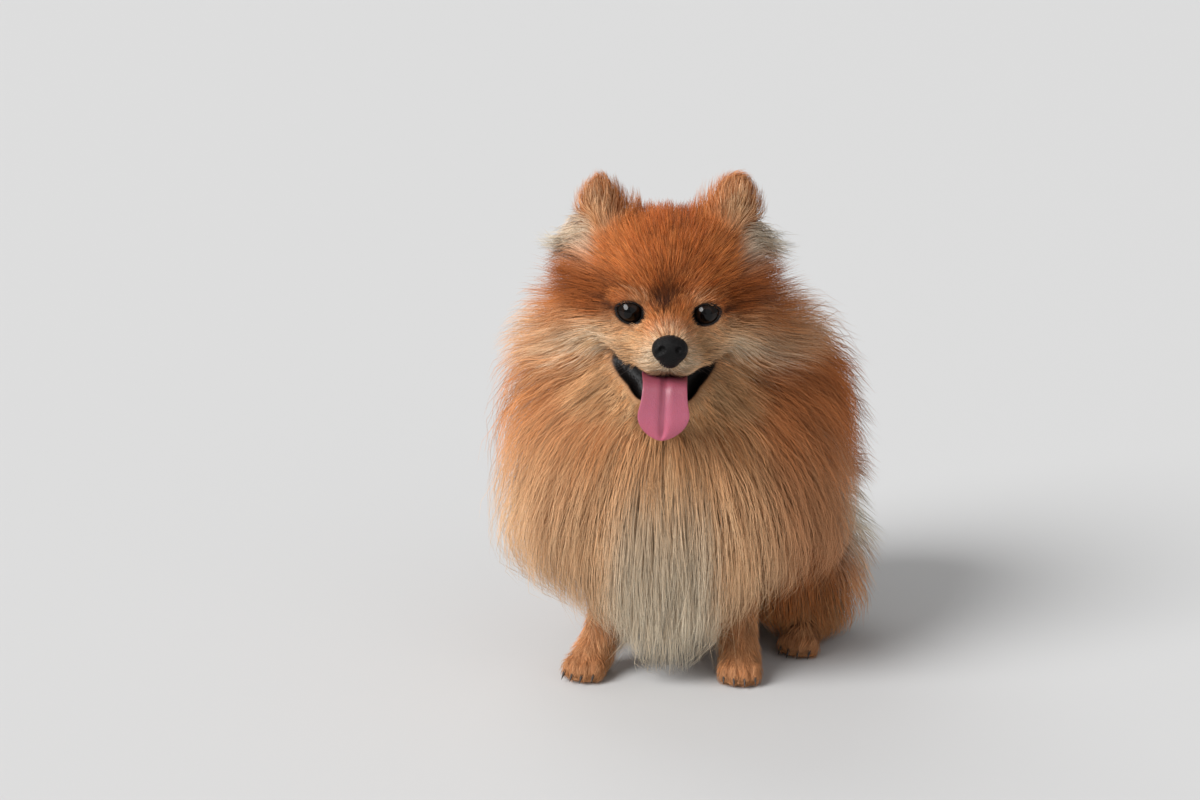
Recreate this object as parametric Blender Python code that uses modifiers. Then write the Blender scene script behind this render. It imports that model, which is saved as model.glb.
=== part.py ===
"""A sitting pomeranian at life size, as the outer form of its coat.

Metres, +Z up. The dog faces -Y, its left side is +X, and it sits on the floor at Z = 0.
Places are first given in the dog's own frame, where X = 0 is the middle of the chest and
Y = 0 is the wrist of the front legs. SHIFT then brings the middle of the box to the origin.
"""

import math

import bmesh
import bpy
from mathutils import Euler, Matrix, Vector

# Driving dimensions
GAP = 0.0003  # between pieces that meet
SHIFT = Vector((-0.0150, -0.0440, 0.0))
FACE_HALF_WIDTH = 0.0605
HEAD_HALF_DEPTH = 0.0470
HEAD_MIDDLE = Vector((0.0, 0.0090, 0.2085))
HEAD_TOP = 0.2500
EYE_SPACING = 0.0386
EYE_RADIUS = 0.0080
EYE_PLACE = Vector((EYE_SPACING / 2, -0.0262, 0.2001))  # the left one
NOSE_WIDTH = 0.0188
NOSE_PLACE = Vector((0.0, -0.0650, 0.1895))
MUZZLE_ROOT = Vector((0.0, -0.0220, 0.1925))
MUZZLE_TIP = Vector((0.0, -0.0575, 0.1875))
EAR_TIP = Vector((0.0370, 0.0060, 0.2660))  # the left one
CLAW_LENGTH, CLAW_RADIUS = 0.0085, 0.0012
TOE_SPACING = 0.0051
TOE_STEPS = (-1.5, -0.5, 0.5, 1.5)  # toes across a foot, in toe spacings
SIDES = {"left": 1.0, "right": -1.0}

# The hindquarters swing round to the dog's left, about a line between the front legs
SWING_DEG = 25.0
SWING_PIVOT = Vector((0.0, 0.010, 0.0))
SWING = Matrix.Rotation(-math.radians(SWING_DEG), 3, "Z")
SWUNG_TURN = (0, 0, -SWING_DEG)

# The head tips to the dog's left
HEAD_YAW_DEG, HEAD_ROLL_DEG = 0.5, 2.4
HEAD_PIVOT = Vector((0.0, 0.015, 0.190))
HEAD_TURN = (
    Matrix.Translation(HEAD_PIVOT)
    @ Euler((0.0, math.radians(HEAD_ROLL_DEG), math.radians(HEAD_YAW_DEG))).to_matrix().to_4x4()
    @ Matrix.Translation(-HEAD_PIVOT)
)
STILL = Matrix.Identity(4)

# Mane: a bell of long hair round the neck and chest, by its level sections. The lowest
# ones are the bib, which hangs between the front legs nearly to the floor.
MANE = (
    # height, right side, left side, front, back
    (0.0050, -0.0120, 0.0140, -0.0250, -0.0080),
    (0.0200, -0.0210, 0.0240, -0.0310, 0.0020),
    (0.0340, -0.0380, 0.0430, -0.0350, 0.0340),
    (0.0430, -0.0610, 0.0670, -0.0390, 0.0620),
    (0.0560, -0.0870, 0.0920, -0.0440, 0.0800),
    (0.0750, -0.0930, 0.1020, -0.0520, 0.0980),
    (0.1050, -0.0930, 0.1040, -0.0550, 0.1100),
    (0.1350, -0.0935, 0.1030, -0.0510, 0.1140),
    (0.1600, -0.0925, 0.1000, -0.0360, 0.1120),
    (0.1850, -0.0830, 0.0900, -0.0110, 0.1060),
    (0.2050, -0.0710, 0.0750, 0.0050, 0.0960),
    (0.2260, -0.0560, 0.0580, 0.0210, 0.0800),
    (0.2370, -0.0350, 0.0370, 0.0330, 0.0640),
)

# Tongue: sections along a line that leaves the mouth and hangs over the lip
TONGUE_LINE = (
    # Y, Z, half width, half thickness
    (-0.0330, 0.1715, 0.0085, 0.0018),
    (-0.0440, 0.1725, 0.0108, 0.0020),
    (-0.0540, 0.1722, 0.0110, 0.0021),
    (-0.0602, 0.1690, 0.0102, 0.0022),
    (-0.0628, 0.1630, 0.0112, 0.0022),
    (-0.0640, 0.1560, 0.0132, 0.0021),
    (-0.0640, 0.1495, 0.0115, 0.0019),
    (-0.0632, 0.1440, 0.0060, 0.0016),
)
TONGUE_GROOVE = 0.0010
TONGUE_SIDES = 10

# Hind legs: how far across and back each haunch is. The right one is tucked further in.
HAUNCH_PLACE = {"left": (0.053, 0.084), "right": (-0.042, 0.094)}

# Front legs: elbow, wrist, middle of the paw, and how far the paw turns, in degrees
FORELEG_LINE = {
    "left": ((0.0360, 0.0120, 0.0850), (0.0385, 0.0040, 0.0280), (0.0405, -0.0060, 0.0), -4),
    "right": ((-0.0270, 0.0120, 0.0850), (-0.0275, 0.0060, 0.0300), (-0.0375, -0.0010, 0.0), -24),
}

COLOURS = {
    "orange_coat": (0.42, 0.15, 0.045),
    "red_coat": (0.30, 0.085, 0.022),
    "tan_coat": (0.55, 0.27, 0.12),
    "cream_coat": (0.58, 0.46, 0.31),
    "nose_leather": (0.008, 0.007, 0.007),
    "eye_dark": (0.006, 0.004, 0.003),
    "tongue_flesh": (0.60, 0.16, 0.22),
    "claw_horn": (0.05, 0.035, 0.03),
}
ROUGHNESS = {"nose_leather": 0.45, "eye_dark": 0.05, "tongue_flesh": 0.35, "claw_horn": 0.4}


def clear_scene():
    for old in list(bpy.data.objects):
        bpy.data.objects.remove(old)


def new_collection(name):
    made = bpy.data.collections.new(name)
    bpy.context.scene.collection.children.link(made)
    return made


def new_material(name):
    made = bpy.data.materials.new(name)
    made.use_nodes = True
    shader = made.node_tree.nodes["Principled BSDF"]
    shader.inputs["Base Color"].default_value = (*COLOURS[name], 1.0)
    shader.inputs["Roughness"].default_value = ROUGHNESS.get(name, 0.8)
    shader.inputs["Metallic"].default_value = 0.0
    return made


def swung(place):
    """A place given on the straight dog, carried round with the hindquarters."""
    return SWING_PIVOT + SWING @ (Vector(place) - SWING_PIVOT)


def add_ball(bm, centre, radii, turn_deg=(0, 0, 0), frame=STILL, detail=3):
    """An ellipsoid of these half sizes."""
    turn = Euler([math.radians(angle) for angle in turn_deg]).to_matrix().to_4x4()
    place = frame @ Matrix.Translation(centre) @ turn @ Matrix.Diagonal((*radii, 1.0))
    bmesh.ops.create_icosphere(bm, subdivisions=detail, radius=1.0, matrix=place)


def add_limb(bm, start, end, start_radius, end_radius, frame=STILL):
    """A round bar that tapers from one ball to another."""
    start, end = Vector(start), Vector(end)
    along = end - start
    turn = along.to_track_quat("Z", "Y").to_matrix().to_4x4()
    bmesh.ops.create_cone(
        bm,
        cap_ends=True,
        segments=24,
        radius1=start_radius,
        radius2=end_radius,
        depth=along.length,
        matrix=frame @ Matrix.Translation((start + end) / 2) @ turn,
    )
    add_ball(bm, start, (start_radius,) * 3, frame=frame)
    add_ball(bm, end, (end_radius,) * 3, frame=frame)


def superellipse(right, left, front, back, steps=32, power=2.3):
    """Points round a level section that reaches these four limits."""
    points = []
    for step in range(steps):
        angle = math.tau * step / steps
        across, deep = math.cos(angle), math.sin(angle)
        across = math.copysign(abs(across) ** (2 / power), across)
        deep = math.copysign(abs(deep) ** (2 / power), deep)
        x = (right + left + (left - right) * across) / 2
        y = (front + back + (back - front) * deep) / 2
        points.append((x, y))
    return points


def add_rings(bm, rings):
    """A closed form through rings of points, with flat ends."""
    rows = [[bm.verts.new(point) for point in ring] for ring in rings]
    for first, second in zip(rows, rows[1:]):
        for i in range(len(first)):
            j = (i + 1) % len(first)
            bm.faces.new((first[i], first[j], second[j], second[i]))
    bm.faces.new(rows[0][::-1])
    bm.faces.new(rows[-1])


def object_from(bm, name, collection):
    mesh = bpy.data.meshes.new(name)
    bm.to_mesh(mesh)
    bm.free()
    made = bpy.data.objects.new(name, mesh)
    collection.objects.link(made)
    return made


def settle(obj):
    """Makes the modifiers' result the object's own mesh."""
    graph = bpy.context.evaluated_depsgraph_get()
    made = bpy.data.meshes.new_from_object(obj.evaluated_get(graph))
    obj.modifiers.clear()
    obj.data = made
    return obj


def fuse(bm, name, voxel, rounds, triangles):
    """Joins overlapping shapes to one smooth closed form of about so many triangles."""
    obj = object_from(bm, name, parts)
    remesh = obj.modifiers.new("Remesh", "REMESH")
    remesh.mode = "VOXEL"
    remesh.voxel_size = voxel
    smooth = obj.modifiers.new("Smooth", "SMOOTH")
    smooth.factor = 0.5
    smooth.iterations = rounds
    settle(obj)
    decimate = obj.modifiers.new("Decimate", "DECIMATE")
    decimate.ratio = min(1.0, triangles / (2 * len(obj.data.polygons)))
    settle(obj)
    uncut[name] = obj.data.copy()
    return obj


def as_cutter(obj):
    obj.hide_render = True
    obj.display_type = "WIRE"
    return obj


def swollen(obj, by):
    """A cutter: the uncut form of a solid with its skin moved out by a little."""
    made = bpy.data.objects.new(obj.name + "_cutter", uncut.get(obj.name, obj.data).copy())
    cutters.objects.link(made)
    normals = [vertex.normal.copy() for vertex in made.data.vertices]
    for vertex, normal in zip(made.data.vertices, normals):
        vertex.co += normal * by
    return as_cutter(made)


def cut_away(obj, cutter):
    boolean = obj.modifiers.new("Cut", "BOOLEAN")
    boolean.operation = "DIFFERENCE"
    boolean.object = cutter
    return settle(obj)


def drop_crumbs(obj):
    """Keeps only the largest of the bodies that a cut has left."""
    bm = bmesh.new()
    bm.from_mesh(obj.data)
    waiting, bodies = set(bm.verts), []
    while waiting:
        found, front = set(), [waiting.pop()]
        while front:
            vert = front.pop()
            found.add(vert)
            near = {edge.other_vert(vert) for edge in vert.link_edges} & waiting
            waiting -= near
            front.extend(near)
        bodies.append(found)
    bodies.sort(key=len)
    bmesh.ops.delete(bm, geom=[vert for found in bodies[:-1] for vert in found])
    bm.to_mesh(obj.data)
    bm.free()
    return obj


def trim(obj, *others, by=GAP):
    """Cuts room for its neighbours out of a solid."""
    for other in others:
        cut_away(obj, swollen(other, by))
    return drop_crumbs(obj)


def halve(obj, point, normal):
    """Keeps what lies on the far side of a plane, along its normal."""
    normal = Vector(normal).normalized()
    turn = normal.to_track_quat("Z", "Y").to_matrix().to_4x4()
    bm = bmesh.new()
    bmesh.ops.create_cube(bm, size=1.0, matrix=Matrix.Translation(Vector(point) - normal / 2) @ turn)
    block = as_cutter(object_from(bm, obj.name + "_block", cutters))
    return drop_crumbs(cut_away(obj, block))


def split(obj, point, normal, near_name):
    """Parts a solid with a thin cut. The far side keeps the object, the near side is new."""
    normal = Vector(normal).normalized()
    near = bpy.data.objects.new(near_name, obj.data.copy())
    parts.objects.link(near)
    halve(obj, Vector(point) + normal * GAP / 2, normal)
    return halve(near, Vector(point) - normal * GAP / 2, -normal)


def on_floor(obj):
    """Flattens the underside of what rests on the floor."""
    return halve(obj, (0, 0, 0), (0, 0, 1))


def paint(obj, material):
    obj.data.materials.clear()
    obj.data.materials.append(material)
    obj.data.shade_smooth()


def make_head():
    """Skull, forehead, cheeks, brows, orbits and upper jaw in one form."""
    bm = bmesh.new()
    radii = (FACE_HALF_WIDTH, HEAD_HALF_DEPTH, HEAD_TOP - HEAD_MIDDLE.z)
    add_ball(bm, HEAD_MIDDLE, radii, frame=HEAD_TURN)
    add_ball(bm, (0, -0.008, 0.2195), (0.041, 0.030, 0.024), frame=HEAD_TURN)
    add_limb(bm, MUZZLE_ROOT, MUZZLE_TIP, 0.0205, 0.0122, HEAD_TURN)
    for side in SIDES.values():
        cheek = (side * 0.0300, 0.0010, 0.1870)
        brow = (side * 0.0165, -0.0215, 0.2145)
        orbit = (side * 0.0190, -0.0185, 0.2002)
        lip = (side * 0.0075, -0.0530, 0.1835)
        add_ball(bm, cheek, (0.0320, 0.0315, 0.0240), frame=HEAD_TURN)
        add_ball(bm, brow, (0.0135, 0.0125, 0.0095), frame=HEAD_TURN)
        add_ball(bm, orbit, (0.0150, 0.0125, 0.0130), frame=HEAD_TURN)
        add_ball(bm, lip, (0.0095, 0.0120, 0.0088), frame=HEAD_TURN)
    return fuse(bm, "head", voxel=0.0018, rounds=6, triangles=900)


def make_eye(name):
    place = HEAD_TURN @ Vector((SIDES[name] * EYE_PLACE.x, EYE_PLACE.y, EYE_PLACE.z))
    bm = bmesh.new()
    bmesh.ops.create_uvsphere(
        bm, u_segments=14, v_segments=8, radius=EYE_RADIUS, matrix=Matrix.Translation(place)
    )
    return object_from(bm, "eye_" + name, parts)


def make_nose():
    """Nose leather: a rounded wedge with the wings of its nostrils."""
    half = NOSE_WIDTH / 2
    bm = bmesh.new()
    add_ball(bm, NOSE_PLACE, (half * 0.92, 0.0062, 0.0070), frame=HEAD_TURN)
    add_ball(bm, NOSE_PLACE + Vector((0, 0.0008, -0.0045)), (0.0052,) * 3, frame=HEAD_TURN)
    for side in SIDES.values():
        wing = NOSE_PLACE + Vector((side * half * 0.53, 0.0, -0.0005))
        add_ball(bm, wing, (half * 0.49, 0.0056, 0.0050), frame=HEAD_TURN)
    return fuse(bm, "nose", voxel=0.0008, rounds=3, triangles=220)


def make_jaw():
    """Lower jaw, hanging open and hollowed for the tongue."""
    bm = bmesh.new()
    add_limb(bm, (0, -0.0180, 0.1685), (0, -0.0455, 0.1600), 0.0185, 0.0100, HEAD_TURN)
    add_ball(bm, (0, -0.0200, 0.1700), (0.0275, 0.0150, 0.0110), frame=HEAD_TURN)
    made = fuse(bm, "lower_jaw", voxel=0.0012, rounds=6, triangles=260)
    bm = bmesh.new()
    add_ball(bm, (0, -0.0400, 0.1765), (0.0165, 0.0330, 0.0115), (17, 0, 0), HEAD_TURN)
    cut_away(made, as_cutter(object_from(bm, "mouth_hollow", cutters)))
    return trim(made, head)


def tongue_ring(place, along, half_width, half_thick):
    """Points round one section, with a groove down the middle of the upper face."""
    up = Vector((0.0, -along.z, along.y))
    ring = []
    for step in range(TONGUE_SIDES):
        angle = math.tau * step / TONGUE_SIDES
        across, lift = math.cos(angle), math.sin(angle)
        thick = half_thick * lift * (1.0 - 0.45 * abs(across))
        if lift > 0:
            thick -= TONGUE_GROOVE * math.exp(-((across / 0.25) ** 2))
        ring.append(HEAD_TURN @ (place + Vector((half_width * across, 0, 0)) + up * thick))
    return ring


def make_tongue():
    middle = [Vector((0.0, y, z)) for y, z, _, _ in TONGUE_LINE]
    rings = []
    for i, (_, _, half_width, half_thick) in enumerate(TONGUE_LINE):
        along = middle[min(i + 1, len(middle) - 1)] - middle[max(i - 1, 0)]
        rings.append(tongue_ring(middle[i], along.normalized(), half_width, half_thick))
    bm = bmesh.new()
    add_rings(bm, rings)
    bmesh.ops.recalc_face_normals(bm, faces=bm.faces)
    return trim(object_from(bm, "tongue", parts), head, jaw)


def make_ear(name):
    """A small rounded cone, flattened, leaning out and cupped to the front."""
    side = SIDES[name]
    tip = Vector((side * EAR_TIP.x, EAR_TIP.y, EAR_TIP.z))
    flat = HEAD_TURN @ Matrix.Translation(tip) @ Matrix.Diagonal((1.0, 0.62, 1.0, 1.0))
    bm = bmesh.new()
    add_limb(bm, (side * -0.0030, 0.0100, -0.0290), (0, 0, -0.0105), 0.0200, 0.0105, flat)
    add_limb(bm, (side * 0.0120, 0.0120, -0.0360), (side * 0.0030, 0.0040, -0.0150), 0.0150, 0.0090, flat)
    made = fuse(bm, "ear_" + name, voxel=0.0015, rounds=4, triangles=190)
    bm = bmesh.new()
    cup = tip + Vector((side * 0.0035, -0.0120, -0.0210))
    add_ball(bm, cup, (0.0085, 0.0085, 0.0145), (0, side * 18, 0), HEAD_TURN, detail=2)
    cut_away(made, as_cutter(object_from(bm, made.name + "_cup", cutters)))
    return trim(made, head)


def make_body():
    """Mane, back and rump in one form."""
    bm = bmesh.new()
    add_rings(bm, [[(x, y, z) for x, y in superellipse(*limits)] for z, *limits in MANE])
    add_ball(bm, swung((0, 0.085, 0.120)), (0.080, 0.078, 0.072), (38, 0, -SWING_DEG), detail=4)
    add_ball(bm, swung((0, 0.105, 0.105)), (0.068, 0.057, 0.056), SWUNG_TURN, detail=4)
    add_ball(bm, swung((0, 0.107, 0.061)), (0.077, 0.059, 0.064), SWUNG_TURN, detail=4)
    made = fuse(bm, "rump", voxel=0.0035, rounds=20, triangles=1180)
    on_floor(made)
    trim(made, head, tongue, *ears)
    return trim(made, jaw, by=2.5 * GAP)


def make_tail():
    """A root that rises from the rump, and a plume over the back that falls to the left."""
    bm = bmesh.new()
    add_limb(bm, swung((0, 0.138, 0.082)), swung((0.003, 0.132, 0.118)), 0.028, 0.037)
    add_ball(bm, swung((0.006, 0.118, 0.148)), (0.062, 0.044, 0.045), (30, 8, -SWING_DEG), detail=4)
    add_ball(bm, swung((0.038, 0.104, 0.136)), (0.043, 0.052, 0.060), (0, -12, -SWING_DEG), detail=4)
    add_ball(bm, swung((0.057, 0.102, 0.112)), (0.027, 0.049, 0.058), (0, -6, -SWING_DEG), detail=4)
    made = fuse(bm, "tail_tip", voxel=0.0030, rounds=12, triangles=400)
    return trim(made, body)


def make_haunch(name):
    """The folded thigh with its skirt of hair, which reaches the floor."""
    across, back = HAUNCH_PLACE[name]
    bm = bmesh.new()
    add_ball(bm, swung((across, back, 0.048)), (0.0380, 0.0520, 0.0480), SWUNG_TURN)
    add_ball(bm, swung((across * 1.06, back + 0.009, 0.025)), (0.0355, 0.0470, 0.0290), SWUNG_TURN)
    made = fuse(bm, "thigh_" + name, voxel=0.0026, rounds=10, triangles=300)
    on_floor(made)
    return trim(made, body, tail, by=2 * GAP)


def make_hind_foot(name):
    """The long hind foot, flat on the floor, with its toes in front of the haunch."""
    across, back = HAUNCH_PLACE[name]
    heel = swung((across * 1.08, back + 0.016, 0.0110))
    ball = swung((across * 1.14, back - 0.023, 0.0088))
    bm = bmesh.new()
    add_limb(bm, heel, ball, 0.0100, 0.0092)
    for step in TOE_STEPS:
        add_ball(bm, hind_toe(name, step), (0.0038, 0.0062, 0.0066), SWUNG_TURN)
    made = fuse(bm, "hind_foot_" + name, voxel=0.0013, rounds=3, triangles=240)
    on_floor(made)
    return trim(made, haunches[name], body)


def hind_toe(name, step):
    across, back = HAUNCH_PLACE[name]
    return swung((across * 1.14 + step * TOE_SPACING, back - 0.0310 + 0.0012 * step * step, 0.0062))


def front_toe(name, step):
    return paw_frame(name) @ Vector((step * TOE_SPACING, -0.0132 + 0.0013 * step * step, 0.0062))


def paw_frame(name):
    _, _, paw, turn = FORELEG_LINE[name]
    return Matrix.Translation(paw) @ Matrix.Rotation(math.radians(turn), 4, "Z")


def make_foreleg(name):
    """The front leg below the mane, and a round paw of four toes."""
    elbow, wrist, _, turn = FORELEG_LINE[name]
    about = paw_frame(name)
    bm = bmesh.new()
    add_limb(bm, elbow, wrist, 0.0175, 0.0118)
    add_limb(bm, wrist, about @ Vector((0, 0.0060, 0.0120)), 0.0118, 0.0110)
    add_ball(bm, (0, -0.001, 0.0088), (0.0112, 0.0140, 0.0098), frame=about)
    for step in TOE_STEPS:
        add_ball(bm, front_toe(name, step), (0.0038, 0.0066, 0.0066), (0, 0, turn))
    made = fuse(bm, "paw_" + name, voxel=0.0014, rounds=3, triangles=390)
    on_floor(made)
    return trim(made, body)


def make_claw(name, foot, toe, heading_deg):
    """A small cone that leaves a toe forwards and a little down."""
    heading = Matrix.Rotation(math.radians(heading_deg), 4, "Z")
    place = toe + heading @ Vector((0, -0.0060, -0.0002))
    slope = Matrix.Rotation(math.radians(118), 4, "X")
    bm = bmesh.new()
    bmesh.ops.create_cone(
        bm,
        cap_ends=True,
        segments=6,
        radius1=CLAW_RADIUS,
        radius2=CLAW_RADIUS / 3,
        depth=CLAW_LENGTH,
        matrix=Matrix.Translation(place) @ heading @ slope,
    )
    return trim(object_from(bm, name, parts), foot)


def make_claws():
    made = []
    for name in SIDES:
        turn = FORELEG_LINE[name][3]
        for number, step in enumerate(TOE_STEPS, start=1):
            toe = front_toe(name, step)
            made.append(make_claw(f"claw_front_{name}_{number}", forelegs[name], toe, turn + 3 * step))
            toe = hind_toe(name, step)
            made.append(make_claw(f"claw_hind_{name}_{number}", hind_feet[name], toe, 3 * step - SWING_DEG))
    return made


clear_scene()
parts = new_collection("pomeranian")
cutters = new_collection("cutters")
uncut = {}  # the smooth form of each fused solid, before anything is cut from it

head = make_head()
eyes = [make_eye(name) for name in SIDES]
nose = make_nose()
trim(head, *eyes, nose)
jaw = make_jaw()
tongue = make_tongue()
ears = [make_ear(name) for name in SIDES]
body = make_body()
tail = make_tail()
haunches = {name: make_haunch(name) for name in SIDES}
hind_feet = {name: make_hind_foot(name) for name in SIDES}
forelegs = {name: make_foreleg(name) for name in SIDES}
claws = make_claws()

# Thin cuts part the large forms. What is beyond the last cut keeps the first name.
muzzle = split(head, HEAD_TURN @ Vector((0, -0.0405, 0.19)), (0, 1, 0), "muzzle")
neck = split(body, (0, 0.030, 0.168), (0, 0.22, -1), "neck")
chest = split(body, (0, 0.066, 0.100), (math.tan(math.radians(SWING_DEG / 2)), 1, 0), "chest")
trunk = split(body, swung((0, 0.095, 0.088)), SWING @ Vector((0, 0.62, -0.78)), "trunk")
tail_plume = split(tail, swung((0.044, 0.100, 0.140)), SWING @ Vector((1, 0, -0.25)), "tail_plume")
tail_base = split(tail_plume, swung((0.004, 0.142, 0.120)), SWING @ Vector((0, -0.35, 1)), "tail_base")
shins = [split(forelegs[name], (0, 0, 0.0215), (0, 0, -1), "foreleg_" + name) for name in SIDES]

PAINTED = {
    "orange_coat": [head, neck, trunk, tail_base, *ears, *shins, *forelegs.values(), *hind_feet.values()],
    "red_coat": [body, *haunches.values()],
    "tan_coat": [chest, muzzle, jaw],
    "cream_coat": [tail, tail_plume],
    "nose_leather": [nose],
    "eye_dark": eyes,
    "tongue_flesh": [tongue],
    "claw_horn": claws,
}
for material_name, painted in PAINTED.items():
    finish = new_material(material_name)
    for each in painted:
        paint(each, finish)
for each in parts.objects:
    each.location = SHIFT
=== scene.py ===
# A sitting pomeranian in full coat, in life size: skin, eyes, nose, mouth, claws, whiskers and fur.
import itertools
import math
import bpy
import numpy as np
import openvdb
from mathutils import Euler, Matrix, Vector
from mathutils.kdtree import KDTree


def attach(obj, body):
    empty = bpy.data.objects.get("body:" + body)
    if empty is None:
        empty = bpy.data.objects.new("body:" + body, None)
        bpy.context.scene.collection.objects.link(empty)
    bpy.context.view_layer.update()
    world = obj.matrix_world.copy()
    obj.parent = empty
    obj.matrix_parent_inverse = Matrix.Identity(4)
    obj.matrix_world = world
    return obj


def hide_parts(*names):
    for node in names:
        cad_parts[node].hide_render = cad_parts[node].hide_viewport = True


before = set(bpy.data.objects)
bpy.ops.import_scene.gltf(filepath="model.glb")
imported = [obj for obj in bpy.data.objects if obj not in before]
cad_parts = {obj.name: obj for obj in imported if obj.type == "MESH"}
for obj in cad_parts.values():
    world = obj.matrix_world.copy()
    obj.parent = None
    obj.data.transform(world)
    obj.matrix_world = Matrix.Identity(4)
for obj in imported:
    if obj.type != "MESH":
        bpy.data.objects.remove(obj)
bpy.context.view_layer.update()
rng = np.random.default_rng(7)
sides = {"left": 1.0, "right": -1.0}

# Shapes are given in the dog's own frame: X to its left, Y to its back, metres
dogOrigin = np.array((-0.0150, -0.0440, 0.0))
pose = {
    "headPivot": (0.0, 0.015, 0.190),
    "headTurnDeg": (0.0, 2.4, 0.5),
    "hindPivot": (0.0, 0.010, 0.0),
    "hindTurnDeg": (0.0, 0.0, -25.0),
}
pawPlace = {"left": (0.0405, -0.0060, 0.0), "right": (-0.0375, -0.0010, 0.0)}
pawTurnDeg = {"left": -4.0, "right": -24.0}
wristPlace = {"left": (0.0385, 0.0040, 0.0280), "right": (-0.0275, 0.0060, 0.0300)}
elbowPlace = {"left": (0.0360, 0.0120, 0.0850), "right": (-0.0270, 0.0120, 0.0850)}
haunchPlace = {"left": (0.053, 0.084), "right": (-0.042, 0.094)}
toeSteps = (-1.5, -0.5, 0.5, 1.5)
earTip = {"left": (0.0328, 0.006, 0.2674), "right": (-0.0354, 0.006, 0.2618)}
eye = {
    "left": (0.0184, -0.0262, 0.2007), "right": (-0.0187, -0.0262, 0.2001),
    "radius": 0.0080, "slantDeg": 14.0, "outwardDeg": 2.0,
}


def turned(degrees):
    return np.array(Euler([math.radians(a) for a in degrees]).to_matrix())


def pivotFrame(degrees, pivot):
    turn = turned(degrees)
    return turn, np.array(pivot) - turn @ np.array(pivot), np.ones(3)


frames = {
    "body": (np.eye(3), np.zeros(3), np.ones(3)),
    "head": pivotFrame(pose["headTurnDeg"], pose["headPivot"]),
    "hind": pivotFrame(pose["hindTurnDeg"], pose["hindPivot"]),
}
for sideName, side in sides.items():
    headRot, headMove, _ = frames["head"]
    tip = headRot @ np.array(earTip[sideName]) + headMove
    frames["ear_" + sideName] = (headRot, tip, np.array((1.0, 0.62, 1.0)))
    slant = headRot @ turned((0.0, -side * eye["slantDeg"], side * eye["outwardDeg"]))
    frames["eye_" + sideName] = (slant, headRot @ np.array(eye[sideName]) + headMove, np.ones(3))
    frames["paw_" + sideName] = (turned((0, 0, pawTurnDeg[sideName])), np.array(pawPlace[sideName]), np.ones(3))


def toFrame(points, name):
    turn, move, stretch = frames[name]
    return ((points - move) @ turn) / stretch


def fromFrame(points, name):
    turn, move, stretch = frames[name]
    return (np.asarray(points, float) * stretch) @ turn.T + move


# Skin: the dog's own body under the coat, as softly joined balls and limbs
skinShapes = []


def ball(region, middle, radii, at="body", turn=(0, 0, 0), soft=0.010):
    radii = np.array(radii, float)
    skinShapes.append(dict(
        kind="ball", region=region, frame=at, soft=soft, middle=np.array(middle, float),
        radii=radii, turn=turned(turn), reach=radii.max(),
    ))


def limb(region, start, end, startRadius, endRadius, at="body", soft=0.010):
    start, end = np.array(start, float), np.array(end, float)
    skinShapes.append(dict(
        kind="limb", region=region, frame=at, soft=soft, middle=(start + end) / 2, start=start, end=end,
        radii=(startRadius, endRadius), reach=np.linalg.norm(end - start) / 2 + max(startRadius, endRadius),
    ))


def ballGap(points, middle, radii):
    local, radii = points - np.array(middle), np.array(radii)
    near = np.linalg.norm(local / radii, axis=-1)
    return near * (near - 1.0) / np.maximum(np.linalg.norm(local / radii**2, axis=-1), 1e-6)


def limbGap(points, start, end, startRadius, endRadius):
    start = np.array(start)
    line = np.array(end) - start
    along = np.clip((points - start) @ line / (line @ line), 0.0, 1.0)
    gap = np.linalg.norm(points - start - along[..., None] * line, axis=-1)
    return gap - startRadius - (endRadius - startRadius) * along


def shapeDistance(shape, points):
    local = toFrame(points, shape["frame"])
    if shape["kind"] == "ball":
        return ballGap((local - shape["middle"]) @ shape["turn"], (0, 0, 0), shape["radii"])
    return limbGap(local, shape["start"], shape["end"], *shape["radii"])


def buildHeadShapes():
    ball("crown", (0, 0.011, 0.2080), (0.0370, 0.0380, 0.0315), "head")
    ball("face", (0, -0.006, 0.2145), (0.0305, 0.0262, 0.0215), "head")
    limb("muzzle", (0, -0.0220, 0.1920), (0, -0.0572, 0.1880), 0.0176, 0.0096, "head", soft=0.008)
    limb("jaw", (0, -0.0180, 0.1700), (0, -0.0468, 0.1622), 0.0150, 0.0076, "head", soft=0.006)
    ball("jaw", (0, -0.0190, 0.1715), (0.0240, 0.0125, 0.0090), "head", soft=0.006)
    for name, side in sides.items():
        ball("cheek", (side * 0.0245, 0.0020, 0.1890), (0.0215, 0.0285, 0.0195), "head")
        ball("face", (side * 0.0165, -0.0205, 0.2135), (0.0112, 0.0118, 0.0078), "head", soft=0.006)
        ball("face", (side * 0.0190, -0.0180, 0.2000), (0.0135, 0.0114, 0.0118), "head", soft=0.006)
        ball("muzzle", (side * 0.0160, -0.0208, 0.1872), (0.0156, 0.0100, 0.0098), "head", soft=0.005)
        # Upper lip, from under the nose back to the corner of the mouth
        limb("muzzle", (side * 0.0062, -0.0515, 0.1805), (side * 0.0155, -0.0350, 0.1830), 0.0066, 0.0062, "head", soft=0.005)
        limb("muzzle", (side * 0.0155, -0.0350, 0.1830), (side * 0.0270, -0.0225, 0.1888), 0.0062, 0.0055, "head", soft=0.005)
        limb("jaw", (side * 0.0250, -0.0175, 0.1672), (side * 0.0115, -0.0385, 0.1560), 0.0085, 0.0070, "head", soft=0.006)
        limb("ear", (side * -0.0040, 0.0110, -0.0300), (side * -0.0004, 0.001, -0.0105), 0.0135, 0.0064, "ear_" + name)
        limb("ear", (side * 0.0030, 0.0120, -0.0350), (side * 0.001, 0.004, -0.015), 0.0085, 0.0056, "ear_" + name)


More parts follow.
